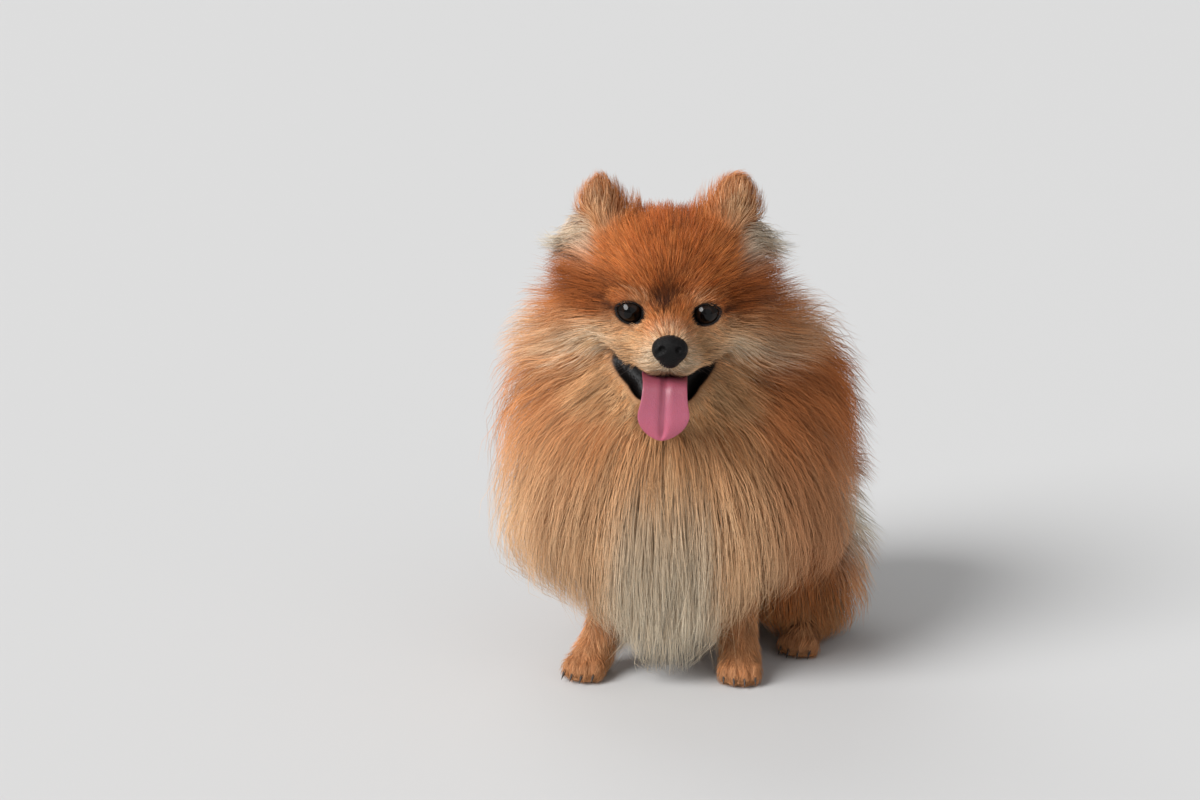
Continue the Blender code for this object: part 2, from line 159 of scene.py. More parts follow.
def buildBodyShapes():
    limb("neck", (0, 0.020, 0.186), (0, 0.040, 0.148), 0.0310, 0.0430, soft=0.020)
    ball("chest", (0, 0.028, 0.118), (0.0470, 0.0440, 0.0560), turn=(-12, 0, 0), soft=0.020)
    ball("trunk", (0, 0.072, 0.106), (0.0460, 0.0520, 0.0480), "hind", turn=(30, 0, 0), soft=0.020)
    ball("rump", (0, 0.104, 0.062), (0.0470, 0.0420, 0.0500), "hind", soft=0.020)
    tailLine = ((0, 0.134, 0.078), (0.002, 0.142, 0.118), (0.012, 0.126, 0.156), (0.036, 0.106, 0.154), (0.056, 0.098, 0.124))
    tailRadius = (0.0150, 0.0110, 0.0090, 0.0075, 0.0060)
    for i in range(len(tailLine) - 1):
        limb("tail", tailLine[i], tailLine[i + 1], tailRadius[i], tailRadius[i + 1], "hind", soft=0.008)
    for name in sides:
        across, back = haunchPlace[name]
        ball("thigh", (across * 0.88, back, 0.048), (0.0250, 0.0380, 0.0350), "hind", soft=0.012)
        foot = (across * 1.14, back - 0.023, 0.0085)
        limb("hindFoot", (across * 1.05, back + 0.016, 0.0100), foot, 0.0085, 0.0075, "hind", soft=0.006)
        for step in toeSteps:
            toe = (across * 1.14 + step * 0.0051, back - 0.031 + 0.0012 * step**2, 0.0058)
            ball("hindFoot", toe, (0.0031, 0.0058, 0.0056), "hind", soft=0.0018)
        limb("leg", elbowPlace[name], wristPlace[name], 0.0150, 0.0094, soft=0.010)
        ankle = fromFrame((0.0, 0.002, 0.0105), "paw_" + name)
        limb("leg", wristPlace[name], ankle, 0.0094, 0.0088, soft=0.005)
        ball("paw", (0, -0.001, 0.0083), (0.0098, 0.0128, 0.0080), "paw_" + name, soft=0.004)
        for step in toeSteps:
            toe = (step * 0.0051, -0.0132 + 0.0013 * step**2, 0.0058)
            ball("paw", toe, (0.0032, 0.0060, 0.0057), "paw_" + name, soft=0.0016)


# The open mouth: points along each side from the corner to beside the tongue, with the half height of the gap
mouth = {
    "corner": {"left": 0.0284, "right": -0.0325},
    "line": (
        (1.00, -0.0262, 0.1796, 0.0014),
        (0.79, -0.0280, 0.1758, 0.0034),
        (0.61, -0.0316, 0.1720, 0.0044),
        (0.45, -0.0365, 0.1680, 0.0045),
        (0.34, -0.0410, 0.1605, 0.0032),
    ),
}


def mouthLines():
    for name in sides:
        yield [(mouth["corner"][name] * part, y, z, half) for part, y, z, half in mouth["line"]]


def mouthDistance(points):
    # How far a point is from the gap of the mouth
    local = toFrame(points, "head")
    middle = (local - (0, -0.0345, 0.1735)) @ turned((10, 0, 0))
    radii = np.array((0.0118, 0.0262, 0.0052))
    near = np.linalg.norm(middle / radii, axis=-1)
    found = (near - 1.0) * radii.min()
    for line in mouthLines():
        for start, end in zip(line, line[1:]):
            found = np.minimum(found, limbGap(local, start[:3], end[:3], start[3], end[3]))
    return found


def eyeDistance(points, name):
    return np.linalg.norm(toFrame(points, "eye_" + name), axis=-1)


lid = {"halfWidth": 0.0074, "upper": 0.0054, "lower": 0.0054, "thickness": 0.0022, "steps": 56}


def lidEdge():
    # Where the eyelids meet the eyeball, in the eye's own frame
    turn = np.linspace(0, math.tau, lid["steps"], endpoint=False)
    x = lid["halfWidth"] * np.cos(turn)
    tall = np.where(np.sin(turn) > 0, lid["upper"], lid["lower"])
    z = tall * np.sin(turn) * np.abs(np.sin(turn)) ** 0.12
    y = -np.sqrt(np.maximum((eye["radius"] + 0.0003) ** 2 - x**2 - z**2, 0.0))
    return np.stack((x, y, z), axis=1)


def lidDistance(points, name):
    # The soft ring of the eyelids
    local = toFrame(points, "eye_" + name)
    edge = lidEdge()
    outward = unit(edge)
    away = edge * (1, 0, 1)
    away = unit(away - outward * np.einsum("ij,ij->i", away, outward)[:, None])
    ring = (edge + lid["thickness"] * unit(away + outward * 0.10))[::2]
    found = np.full(local.shape[:-1], 1.0)
    for start, end in zip(ring, np.roll(ring, -1, axis=0)):
        found = np.minimum(found, limbGap(local, start, end, lid["thickness"], lid["thickness"]))
    return found


def smoothMin(a, b, soft):
    lap = np.maximum(soft - np.abs(a - b), 0.0) / soft
    return np.minimum(a, b) - lap * lap * soft * 0.25


skinGrid = {
    # low, high, wide step, then where the fine steps start and end, and the fine step
    "x": (-0.100, 0.130, 0.0016, -0.050, 0.052, 0.0008),
    "y": (-0.080, 0.175, 0.0016, -0.075, 0.020, 0.0008),
    "z": (-0.004, 0.276, 0.0022, 0.145, 0.268, 0.0008),
}
footLayer = {"top": 0.040, "step": 0.0012}
skinShown = 0.60  # the share of the skin's triangles that its piece keeps


def gridAxis(low, high, wide, fineLow, fineHigh, fine):
    return np.concatenate((
        np.arange(low, fineLow - fine / 2, wide),
        np.arange(fineLow, fineHigh, fine),
        np.arange(fineHigh, high, wide),
    ))


def makeSkinMesh():
    axes = [gridAxis(*skinGrid[k]) for k in "xyz"]
    low, *rest = skinGrid["z"]
    upper = gridAxis(footLayer["top"], *rest)
    axes[2] = np.concatenate((np.arange(low, footLayer["top"] - 0.0006, footLayer["step"]), upper))
    field = np.full([len(a) for a in axes], 0.03, np.float32)

    def window(middle, reach):
        cut = [slice(*np.searchsorted(axes[i], (middle[i] - reach, middle[i] + reach))) for i in range(3)]
        cells = np.stack(np.meshgrid(*[axes[i][cut[i]] for i in range(3)], indexing="ij"), axis=-1)
        return tuple(cut), cells

    for shape in skinShapes:
        middle = fromFrame(shape["middle"], shape["frame"])
        cut, cells = window(middle, shape["reach"] + shape["soft"] + 0.004)
        field[cut] = smoothMin(field[cut], shapeDistance(shape, cells), shape["soft"])
    for name, side in sides.items():
        cut, cells = window(frames["eye_" + name][1], 0.018)
        field[cut] = smoothMin(field[cut], lidDistance(cells, name), 0.0035)
        field[cut] = np.maximum(field[cut], eye["radius"] + 0.0002 - eyeDistance(cells, name))
        cut, cells = window(frames["ear_" + name][1], 0.045)
        cup = toFrame(cells, "head") - earTip[name] - (side * 0.0040, -0.0115, -0.0215)
        cup = np.linalg.norm(cup @ turned((0, side * 18, 0)) / (0.0088, 0.0088, 0.0150), axis=-1) - 1.0
        field[cut] = -smoothMin(-field[cut], cup * 0.0088, 0.003)
    cut, cells = window(fromFrame((0, -0.036, 0.174), "head"), 0.040)
    field[cut] = -smoothMin(-field[cut], mouthDistance(cells), 0.0016)
    grid = openvdb.FloatGrid(0.03)
    grid.copyFromArray(field)
    points, quads = grid.convertToQuads(isovalue=0.0)
    points = np.stack([np.interp(points[:, i], np.arange(len(axes[i])), axes[i]) for i in range(3)], axis=1)
    return points, quads.astype(np.int64)


def facesOutward(points, faces):
    # Turns the faces of a closed shell so that they point outwards
    points = points - points.mean(axis=0)
    last = faces.shape[1] - 1
    total = 0.0
    for i in range(1, last):
        a, b, c = points[faces[:, 0]], points[faces[:, i]], points[faces[:, i + 1]]
        total += np.einsum("ij,ij->i", a, np.cross(b, c)).sum()
    return faces[:, ::-1].copy() if total < 0 else faces


def vertexNormals(points, quads):
    cross = np.cross(points[quads[:, 2]] - points[quads[:, 0]], points[quads[:, 3]] - points[quads[:, 1]])
    total = np.zeros_like(points)
    for corner in range(4):
        np.add.at(total, quads[:, corner], cross)
    return unit(total)


def unit(vectors):
    return vectors / np.maximum(np.linalg.norm(vectors, axis=-1, keepdims=True), 1e-12)


def largestPart(points, quads):
    # Keeps the outer shell only
    mark = np.arange(len(points))
    while True:
        lowest = mark[quads].min(axis=1)
        before = mark.copy()
        for corner in range(4):
            np.minimum.at(mark, quads[:, corner], lowest)
        mark = mark[mark]
        if (before == mark).all():
            break
    names, counts = np.unique(mark[quads[:, 0]], return_counts=True)
    kept = quads[mark[quads[:, 0]] == names[counts.argmax()]]
    used = np.unique(kept)
    renumber = np.zeros(len(points), int)
    renumber[used] = np.arange(len(used))
    return points[used], renumber[kept]


def meshObject(name, points, faces, smooth=True):
    # faces is an array of triangles or quads
    mesh = bpy.data.meshes.new(name)
    count, size = faces.shape
    mesh.vertices.add(len(points))
    mesh.vertices.foreach_set("co", (np.asarray(points) + dogOrigin).astype(np.float32).ravel())
    mesh.loops.add(count * size)
    mesh.loops.foreach_set("vertex_index", faces.astype(np.int32).ravel())
    mesh.polygons.add(count)
    mesh.polygons.foreach_set("loop_start", np.arange(0, count * size, size, dtype=np.int32))
    mesh.polygons.foreach_set("use_smooth", np.full(count, smooth))
    mesh.update()
    obj = bpy.data.objects.new(name, mesh)
    bpy.context.scene.collection.objects.link(obj)
    return obj


def finishPiece(obj, material, nodes=()):
    obj.data.materials.clear()
    obj.data.materials.append(material)
    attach(obj, "root")
    if nodes:
        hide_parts(*nodes)
    return obj


def meshArrays(mesh):
    # A mesh's points in the dog's frame and its triangles
    points = np.zeros(len(mesh.vertices) * 3, np.float32)
    mesh.vertices.foreach_get("co", points)
    mesh.calc_loop_triangles()
    triangles = np.zeros(len(mesh.loop_triangles) * 3, np.int32)
    mesh.loop_triangles.foreach_get("vertices", triangles)
    return points.reshape(-1, 3) - dogOrigin, triangles.reshape(-1, 3)


def modifiedMesh(name, points, faces, kind, **values):
    # Points and triangles as a modifier leaves them
    obj = meshObject(name, points, faces)
    modifier = obj.modifiers.new(name, kind)
    for key, value in values.items():
        setattr(modifier, key, value)
    done = obj.evaluated_get(bpy.context.evaluated_depsgraph_get())
    mesh = bpy.data.meshes.new_from_object(done)
    arrays = meshArrays(mesh)
    bpy.data.objects.remove(obj)
    bpy.data.meshes.remove(mesh)
    return arrays


def setColours(mesh, name, values):
    layer = mesh.attributes.new(name, "FLOAT_COLOR", "POINT")
    layer.data.foreach_set("color", np.concatenate((values, np.ones((len(values), 1))), axis=1).astype(np.float32).ravel())


def setNumbers(mesh, name, values):
    layer = mesh.attributes.new(name, "FLOAT", "POINT")
    layer.data.foreach_set("value", values.astype(np.float32))


# Markings, shared by skin and coat: linear colours
markingColours = {
    "deep": (0.450, 0.112, 0.020),
    "orange": (0.590, 0.195, 0.050),
    "mane": (0.690, 0.305, 0.125),
    "tan": (0.740, 0.410, 0.195),
    "cream": (0.780, 0.550, 0.340),
    "white": (0.740, 0.685, 0.545),
    "brown": (0.200, 0.062, 0.016),
    "dark": (0.050, 0.013, 0.004),
    "black": (0.006, 0.005, 0.005),
    "leg": (0.620, 0.280, 0.120),
}
colour = {name: np.array(value) for name, value in markingColours.items()}


def bump(value, middle, width):
    return np.exp(-(((value - middle) / width) ** 2))


def ramp(value, low, high):
    part = np.clip((value - low) / (high - low), 0.0, 1.0)
    return part * part * (3.0 - 2.0 * part)


def mixTo(base, target, share):
    return base + (target - base) * np.clip(share, 0.0, 1.0)[:, None]


def markings(points, weights):
    # Root and tip colour of the coat at places on the skin, from the regions' shares and the place
    head = toFrame(points, "head")
    x, y, z = head.T
    across = np.abs(x)
    base = weights @ np.array([colour[regionColours[name]] for name in regions])
    tips = base.copy()

    def shareOf(*names):
        return sum(weights[:, regions.index(n)] for n in names)

    def paint(share, low, high):
        nonlocal base, tips
        base = mixTo(base, colour[low], share)
        tips = mixTo(tips, colour[high], share)

    onHead = shareOf("crown", "face", "muzzle", "jaw", "cheek", "ear")
    onMane = shareOf("neck", "chest", "jaw", "cheek")
    onHind = shareOf("rump", "thigh")
    px, py, pz = points.T
    # Mane: paler in the middle, painted shade making the right-hand edge deeper, cream bib, pale fringe
    paint(onMane * bump(px, 0.0, 0.030) * ramp(-py, -0.030, 0.005) * 0.7, "tan", "tan")
    paint(onMane * ramp(-px, 0.030, 0.048) * (1 - ramp(pz, 0.150, 0.180)) * 0.7, "orange", "orange")
    # Painted shade: the right-hand side of the mane, which lies in shade, is painted deep orange
    paint(onMane * ramp(px, 0.030, 0.050) * (1 - ramp(pz, 0.130, 0.160)) * 0.7, "deep", "orange")
    paint(onMane * (1 - ramp(pz, 0.060, 0.120)) * 0.7, "tan", "cream")
    bib = (1 - ramp(np.abs(px + 0.001), 0.014, 0.028)) * (1 - ramp(pz, 0.075, 0.105)) * ramp(-py, -0.030, 0.000)
    paint(shareOf("neck", "chest") * bib * 0.95, "white", "white")
    # Face: deep orange above the eyes, pale on the cheeks below them
    aboveEyes = ramp(z + np.clip(across - 0.023, 0.0, 0.010) * 0.30, 0.1980, 0.2055) * ramp(across, 0.008, 0.022)
    paint(onHead * aboveEyes * 0.95, "deep", "orange")
    cheek = bump(across, 0.037, 0.017) * bump(z, 0.1875, 0.0095)
    paint(onHead * cheek * 0.95, "tan", "cream")
    paint(onHead * bump(across, 0.0335, 0.009) * bump(z, 0.1850, 0.006) * 0.8, "cream", "white")
    side = onHead * ramp(across, 0.034, 0.044) * bump(z, 0.2080, 0.0130)
    paint(side * 0.85, "brown", "deep")
    bridge = ramp(-y, 0.020, 0.034) * (1 - ramp(across, 0.008, 0.016)) * ramp(z, 0.190, 0.200)
    paint(onHead * bridge * 0.95, "deep", "orange")
    # Pale hair round the nose and lips, and round the eyes
    pale = bump(np.hypot(across * 0.8, z - 0.184), 0.0, 0.011) * ramp(-y, 0.046, 0.060)
    paint(onHead * pale * 0.8, "cream", "white")
    philtrum = bump(x, 0.0, 0.0045) * (1 - ramp(z, 0.1800, 0.1835)) * ramp(-y, 0.048, 0.054)
    paint(onHead * philtrum * 0.75, "dark", "brown")
    for name, side in sides.items():
        local = toFrame(points, "eye_" + name)
        gap = lidGap(points, name)
        below = ramp(-local[:, 2], -0.001, 0.004)
        paint(onHead * bump(gap, 0.0018, 0.0014) * (0.04 + 0.50 * below), "tan", "cream")
        brow = bump(side * x, 0.0150, 0.0050) * bump(z, 0.2078, 0.0022)
        paint(onHead * brow * 0.60, "tan", "cream")
        paint(onHead * bump(side * x, 0.0100, 0.0030) * bump(z, 0.1965, 0.0050) * 0.6, "deep", "orange")
    # Forehead: the dark patch of the stop, and a painted shadow line out from each eye where the brow hair meets the
    # cheek hair
    stop = bump(x, -0.0028 + (z - 0.206) * 0.15, 0.0066 - 0.16 * np.clip(z - 0.204, 0, 0.02))
    paint(onHead * stop * ramp(z, 0.1995, 0.2050) * (1 - ramp(z, 0.2070, 0.2260)) * 1.30, "dark", "dark")
    stripe = bump(x, 0.0, 0.008) * ramp(z, 0.2040, 0.2120) * (1 - ramp(z, 0.228, 0.246))
    paint(onHead * stripe * 0.45, "brown", "deep")
    lidShade = bump(across, 0.0185, 0.0085) * bump(z, 0.2125, 0.0030)
    paint(onHead * lidShade * 0.55, "brown", "deep")
    # Painted shadow: a dark line out from the outer corner of each eye, where the brow hair meets the cheek hair
    creaseShadow = bump(z, 0.2012 + 0.22 * (across - 0.028), 0.0018) * ramp(across, 0.0250, 0.0280) * (1 - ramp(across, 0.036, 0.046))
    paint(onHead * creaseShadow * 0.9, "dark", "brown")
    # Hindquarters: shaded front of the thigh, white breech, pale skirt
    hx, hy, hz = toFrame(points, "hind").T
    paint(onHind * (1 - ramp(hy, 0.060, 0.095)) * 0.6, "brown", "orange")
    paint(onHind * (1 - ramp(hz, 0.02, 0.05)) * 0.7, "tan", "tan")
    paint(onHind * ramp(hy, 0.082, 0.108) * 0.9, "tan", "cream")
    # Ears: pale hair in the cup and behind its outer edge
    for name, side in sides.items():
        cup = head - earTip[name] - (side * 0.0010, -0.0090, -0.0235)
        inner = bump(np.linalg.norm(cup / (0.0095, 0.0120, 0.0130), axis=1), 0.0, 1.0)
        paint(shareOf("ear", "crown") * inner * 1.3, "tan", "cream")
        outer = ramp(side * (x - earTip[name][0]), 0.000, 0.008) * ramp(z, 0.214, 0.222) * (1 - ramp(z, 0.230, 0.240))
        paint(shareOf("ear", "crown", "neck", "cheek") * outer * 0.90, "cream", "white")
    return base, tips


regionColours = {
    "crown": "deep", "face": "deep", "muzzle": "tan", "jaw": "tan", "cheek": "mane", "ear": "orange",
    "neck": "mane", "chest": "mane", "trunk": "orange", "rump": "mane", "thigh": "orange", "tail": "cream",
    "hindFoot": "leg", "leg": "leg", "paw": "leg",
}
regionOrder = (
    "crown face muzzle jaw cheek ear neck chest trunk rump thigh tail hindFoot leg paw"
)
regions = regionOrder.split()


def regionShares(points, softness=0.005):
    nearest = np.full((len(points), len(regions)), 1.0)
    for shape in skinShapes:
        column = regions.index(shape["region"])
        nearest[:, column] = np.minimum(nearest[:, column], shapeDistance(shape, points))
    shares = np.exp(-(nearest - nearest.min(axis=1, keepdims=True)) / softness)
    return shares / shares.sum(axis=1, keepdims=True)


# Shader groups used by several materials
def shaderGroup(name, inputs, outputs):
    group = bpy.data.node_groups.new(name, "ShaderNodeTree")
    for label, kind, value in inputs:
        socket = group.interface.new_socket(label, in_out="INPUT", socket_type=kind)
        socket.default_value = value
    for label, kind in outputs:
        group.interface.new_socket(label, in_out="OUTPUT", socket_type=kind)
    return group, group.nodes.new("NodeGroupInput"), group.nodes.new("NodeGroupOutput")


def addNode(tree, kind, **values):
    node = tree.nodes.new(kind)
    for key, value in values.items():
        setattr(node, key, value)
    return node


def mathNode(tree, operation, a, b=0.0, clamp=False):
    node = addNode(tree, "ShaderNodeMath", operation=operation, use_clamp=clamp)
    for socket, value in zip(node.inputs, (a, b)):
        if isinstance(value, (int, float)):
            socket.default_value = value
        else:
            tree.links.new(value, socket)
    return node.outputs[0]


def mixColour(tree, share, a, b, blend="MIX"):
    node = addNode(tree, "ShaderNodeMix", data_type="RGBA", blend_type=blend)
    for socket, value in ((node.inputs[0], share), (node.inputs[6], a), (node.inputs[7], b)):
        if isinstance(value, (int, float, tuple)):
            socket.default_value = value
        else:
            tree.links.new(value, socket)
    return node.outputs[2]


def makeCoatGroup():
    # Hair tone: light and dark hairs, darker roots and slow changes over the body
    group, given, made = shaderGroup(
        "coatTone",
        (("Color", "NodeSocketColor", (1, 1, 1, 1)), ("Along", "NodeSocketFloat", 0.5), ("Hair", "NodeSocketFloat", 0.5),
         ("Root Shade", "NodeSocketFloat", 0.5), ("Spread", "NodeSocketFloat", 0.3)),
        (("Color", "NodeSocketColor"), ("Roughness", "NodeSocketFloat")),
    )
    place = addNode(group, "ShaderNodeTexCoord")
    noise = addNode(group, "ShaderNodeTexNoise")
    noise.inputs["Scale"].default_value = 55.0
    noise.inputs["Detail"].default_value = 3.0
    group.links.new(place.outputs["Object"], noise.inputs["Vector"])
    rooted = mathNode(group, "POWER", given.outputs["Along"], 0.55, clamp=True)
    shade = mathNode(group, "MULTIPLY", mathNode(group, "SUBTRACT", 1.0, rooted), given.outputs["Root Shade"])
    light = mathNode(group, "SUBTRACT", 1.0, shade)
    hair = mathNode(group, "MULTIPLY", mathNode(group, "SUBTRACT", given.outputs["Hair"], 0.5), given.outputs["Spread"])
    slow = mathNode(group, "MULTIPLY", mathNode(group, "SUBTRACT", noise.outputs[0], 0.5), 0.35)
    light = mathNode(group, "MULTIPLY", light, mathNode(group, "ADD", mathNode(group, "ADD", 1.0, hair), slow))
    scale = addNode(group, "ShaderNodeVectorMath", operation="SCALE")
    group.links.new(given.outputs["Color"], scale.inputs[0])
    group.links.new(light, scale.inputs["Scale"])
    group.links.new(scale.outputs[0], made.inputs["Color"])
    rough = mathNode(group, "ADD", 0.52, mathNode(group, "MULTIPLY", given.outputs["Hair"], 0.18))
    group.links.new(rough, made.inputs["Roughness"])
    return group


def makeGrainGroup():
    # Fine pebbled or haired surface, as a height and a tone
    group, given, made = shaderGroup(
        "fineGrain",
        (("Scale", "NodeSocketFloat", 1500.0), ("Depth", "NodeSocketFloat", 0.5)),
        (("Height", "NodeSocketFloat"), ("Tone", "NodeSocketFloat")),
    )
    place = addNode(group, "ShaderNodeTexCoord")
    cells = addNode(group, "ShaderNodeTexVoronoi")
    noise = addNode(group, "ShaderNodeTexNoise")
    noise.inputs["Detail"].default_value = 4.0
    for texture in (cells, noise):
        group.links.new(place.outputs["Object"], texture.inputs["Vector"])
        group.links.new(given.outputs["Scale"], texture.inputs["Scale"])
    total = mathNode(group, "ADD", cells.outputs["Distance"], noise.outputs[0])
    group.links.new(mathNode(group, "MULTIPLY", total, given.outputs["Depth"]), made.inputs["Height"])
    group.links.new(noise.outputs[0], made.inputs["Tone"])
    return group


def newMaterial(name):
    material = bpy.data.materials.new(name)
    material.use_nodes = True
    return material, material.node_tree, material.node_tree.nodes["Principled BSDF"]


def placeGroup(tree, group, **values):
    node = addNode(tree, "ShaderNodeGroup", node_tree=group)
    for key, value in values.items():
        node.inputs[key].default_value = value
    return node


def addBump(tree, shader, height, distance, strength=1.0):
    node = addNode(tree, "ShaderNodeBump")
    node.inputs["Distance"].default_value = distance
    node.inputs["Strength"].default_value = strength
    tree.links.new(height, node.inputs["Height"])
    tree.links.new(node.outputs[0], shader.inputs["Normal"])


def makeCoatMaterial(name, group, rootShade, spread):
    material, tree, shader = newMaterial(name)
    tone = placeGroup(tree, group)
    tone.inputs["Root Shade"].default_value = rootShade
    tone.inputs["Spread"].default_value = spread
    for attribute, socket in (("coat", "Color"), ("along", "Along"), ("hair", "Hair")):
        reader = addNode(tree, "ShaderNodeAttribute", attribute_name=attribute)
        tree.links.new(reader.outputs["Color" if attribute == "coat" else "Fac"], tone.inputs[socket])
    tree.links.new(tone.outputs["Color"], shader.inputs["Base Color"])
    tree.links.new(tone.outputs["Roughness"], shader.inputs["Roughness"])
    shader.inputs["Specular IOR Level"].default_value = 0.16
    return material


def makeSkinMaterial(grain):
    material, tree, shader = newMaterial("skinMaterial")
    reader = addNode(tree, "ShaderNodeAttribute", attribute_name="coat")
    grained = placeGroup(tree, grain, Scale=900.0, Depth=0.5)
    shaded = mixColour(tree, grained.outputs["Tone"], (0.45, 0.42, 0.40, 1), (1, 1, 1, 1))
    tree.links.new(mixColour(tree, 1.0, reader.outputs["Color"], shaded, "MULTIPLY"), shader.inputs["Base Color"])
    bare = addNode(tree, "ShaderNodeAttribute", attribute_name="bare")
    rough = mathNode(tree, "SUBTRACT", 0.65, mathNode(tree, "MULTIPLY", bare.outputs["Fac"], 0.20))
    tree.links.new(rough, shader.inputs["Roughness"])
    shader.inputs["Specular IOR Level"].default_value = 0.22
    addBump(tree, shader, grained.outputs["Height"], 0.0003)
    return material


def makeLeatherMaterial(name, grain, tint, roughness, scale, depth, shine):
    material, tree, shader = newMaterial(name)
    grained = placeGroup(tree, grain, Scale=scale, Depth=0.5)
    low = tuple(c * 0.7 for c in tint) + (1,)
    high = tuple(c * 1.3 for c in tint) + (1,)
    tree.links.new(mixColour(tree, grained.outputs["Tone"], low, high), shader.inputs["Base Color"])
    rough = mathNode(tree, "ADD", roughness, mathNode(tree, "MULTIPLY", grained.outputs["Tone"], 0.1))
    tree.links.new(rough, shader.inputs["Roughness"])
    shader.inputs["Specular IOR Level"].default_value = shine
    addBump(tree, shader, grained.outputs["Height"], depth)
    return material


coatGroup = makeCoatGroup()
grainGroup = makeGrainGroup()

# Skin
fleshNodes = [
    "head", "muzzle", "lower_jaw", "ear_left", "ear_right", "neck", "chest", "trunk", "rump", "tail_base", "tail_plume",
    "tail_tip", "foreleg_left", "foreleg_right", "paw_left", "paw_right", "thigh_left", "thigh_right",
    "hind_foot_left", "hind_foot_right",
]
buildHeadShapes()
buildBodyShapes()
skinPoints, skinQuads = makeSkinMesh()
skinPoints, skinQuads = largestPart(skinPoints, skinQuads)
skinQuads = facesOutward(skinPoints, skinQuads)
skinNormals = vertexNormals(skinPoints, skinQuads)
skinShares = regionShares(skinPoints)
shownPoints, shownFaces = modifiedMesh("wholeSkin", skinPoints, skinQuads, "DECIMATE", ratio=skinShown)
skin = meshObject("skin", shownPoints, shownFaces)


# The bare place on the lower jaw where the tongue lies
tongueBed = {"place": (0.0, -0.0450, 0.1695), "radii": (0.0112, 0.0125, 0.0040)}


def bareShare(points):
    # 1 on the dark bare skin of lips and eye rims
    lips = 1 - ramp(mouthDistance(points), 0.0006, 0.0015)
    rims = 0.0
    for name in sides:
        rims = np.maximum(rims, 1 - ramp(lidGap(points, name), 0.0002, 0.0010))
    bed = ballGap(toFrame(points, "head"), tongueBed["place"], tongueBed["radii"])
    return np.maximum(np.maximum(lips, rims), 1 - ramp(bed, 0.0, 0.0010))


def lidGap(points, name):
    # How far outside the opening of the eye a point is, seen along the gaze
    local = toFrame(points, "eye_" + name)
    opening = np.hypot(local[:, 0] / lid["halfWidth"], local[:, 2] / lid["upper"])
    return np.where(local[:, 1] < 0.0, (opening - 1.0) * 0.0062, 1.0)


skinBare = bareShare(shownPoints)
# The skin takes the markings darker: partly the darker undercoat, partly painted shade for the gaps between the hairs
skinTone = markings(shownPoints, regionShares(shownPoints))[0] * 0.8
for sideName in sides:
    skinTone = mixTo(skinTone, colour["brown"], bump(lidGap(shownPoints, sideName), 0.0, 0.0022) * 0.55)
skinTone = mixTo(skinTone, colour["brown"], bump(mouthDistance(shownPoints), 0.0, 0.0024) * 0.5)
setColours(skin.data, "coat", mixTo(skinTone, colour["black"], skinBare))
setNumbers(skin.data, "bare", skinBare)
finishPiece(skin, makeSkinMaterial(grainGroup), fleshNodes)
print("skin:", len(shownFaces), "triangles")

# Distance to the skin and to the outside of the coat, on one grid
volumeGrid = {"low": (-0.115, -0.095, -0.012), "high": (0.145, 0.185, 0.290), "step": 0.002}
volumeLow = np.array(volumeGrid["low"])
volumeShape = np.ceil((np.array(volumeGrid["high"]) - volumeLow) / volumeGrid["step"]).astype(int)


def hullMesh():
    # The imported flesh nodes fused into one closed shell
    points, faces, start = [], [], 0
    for name in fleshNodes:
        nodePoints, nodeFaces = meshArrays(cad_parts[name].data)
        points.append(nodePoints)
        faces.append(nodeFaces + start)
        start += len(nodePoints)
    points, faces = np.concatenate(points), np.concatenate(faces)
    return modifiedMesh("fusedFlesh", points, faces, "REMESH", mode="VOXEL", voxel_size=0.003)


def distanceVolume(points, triangles=None, quads=None):
    step = volumeGrid["step"]
    grid = openvdb.FloatGrid.createLevelSetFromPolygons(
        np.ascontiguousarray(points - volumeLow, dtype=np.float64),
        triangles=None if triangles is None else np.ascontiguousarray(triangles, dtype=np.uint32),
        quads=None if quads is None else np.ascontiguousarray(quads, dtype=np.uint32),
        transform=openvdb.createLinearTransform(voxelSize=step), halfWidth=36.0,
    )
    values = np.zeros(volumeShape, np.float32)
    grid.copyToArray(values, ijk=(0, 0, 0))
    return values


def blurred(values, rounds):
    for _ in range(rounds):
        for axis in range(3):
            padded = np.take(values, np.r_[0, 0 : values.shape[axis], values.shape[axis] - 1], axis=axis)
            cut = [slice(None)] * 3
            parts = []
            for start in range(3):
                cut[axis] = slice(start, start + values.shape[axis])
                parts.append(padded[tuple(cut)])
            values = parts[0] * 0.25 + parts[1] * 0.5 + parts[2] * 0.25
    return values


def makeVolume():
    skinFar = distanceVolume(skinPoints, quads=skinQuads)
    hullFar = distanceVolume(*hullMesh())
    soft = blurred(skinFar, 2)
    layers = [skinFar, *np.gradient(soft, volumeGrid["step"]), hullFar, *np.gradient(blurred(hullFar, 2), volumeGrid["step"])]
    return np.stack(layers, axis=-1).astype(np.float32)


volume = makeVolume()
print("volume:", volume.shape)


def lookUp(points):
    at = np.clip((points - volumeLow) / volumeGrid["step"], 0.0, volumeShape - 1.001)
    cell = at.astype(int)
    part = (at - cell).astype(np.float32)
    total = np.zeros((len(points), volume.shape[-1]), np.float32)
    for corner in itertools.product((0, 1), repeat=3):
        share = np.prod(np.where(corner, part, 1.0 - part), axis=1)
        total += share[:, None] * volume[cell[:, 0] + corner[0], cell[:, 1] + corner[1], cell[:, 2] + corner[2]]
    return total


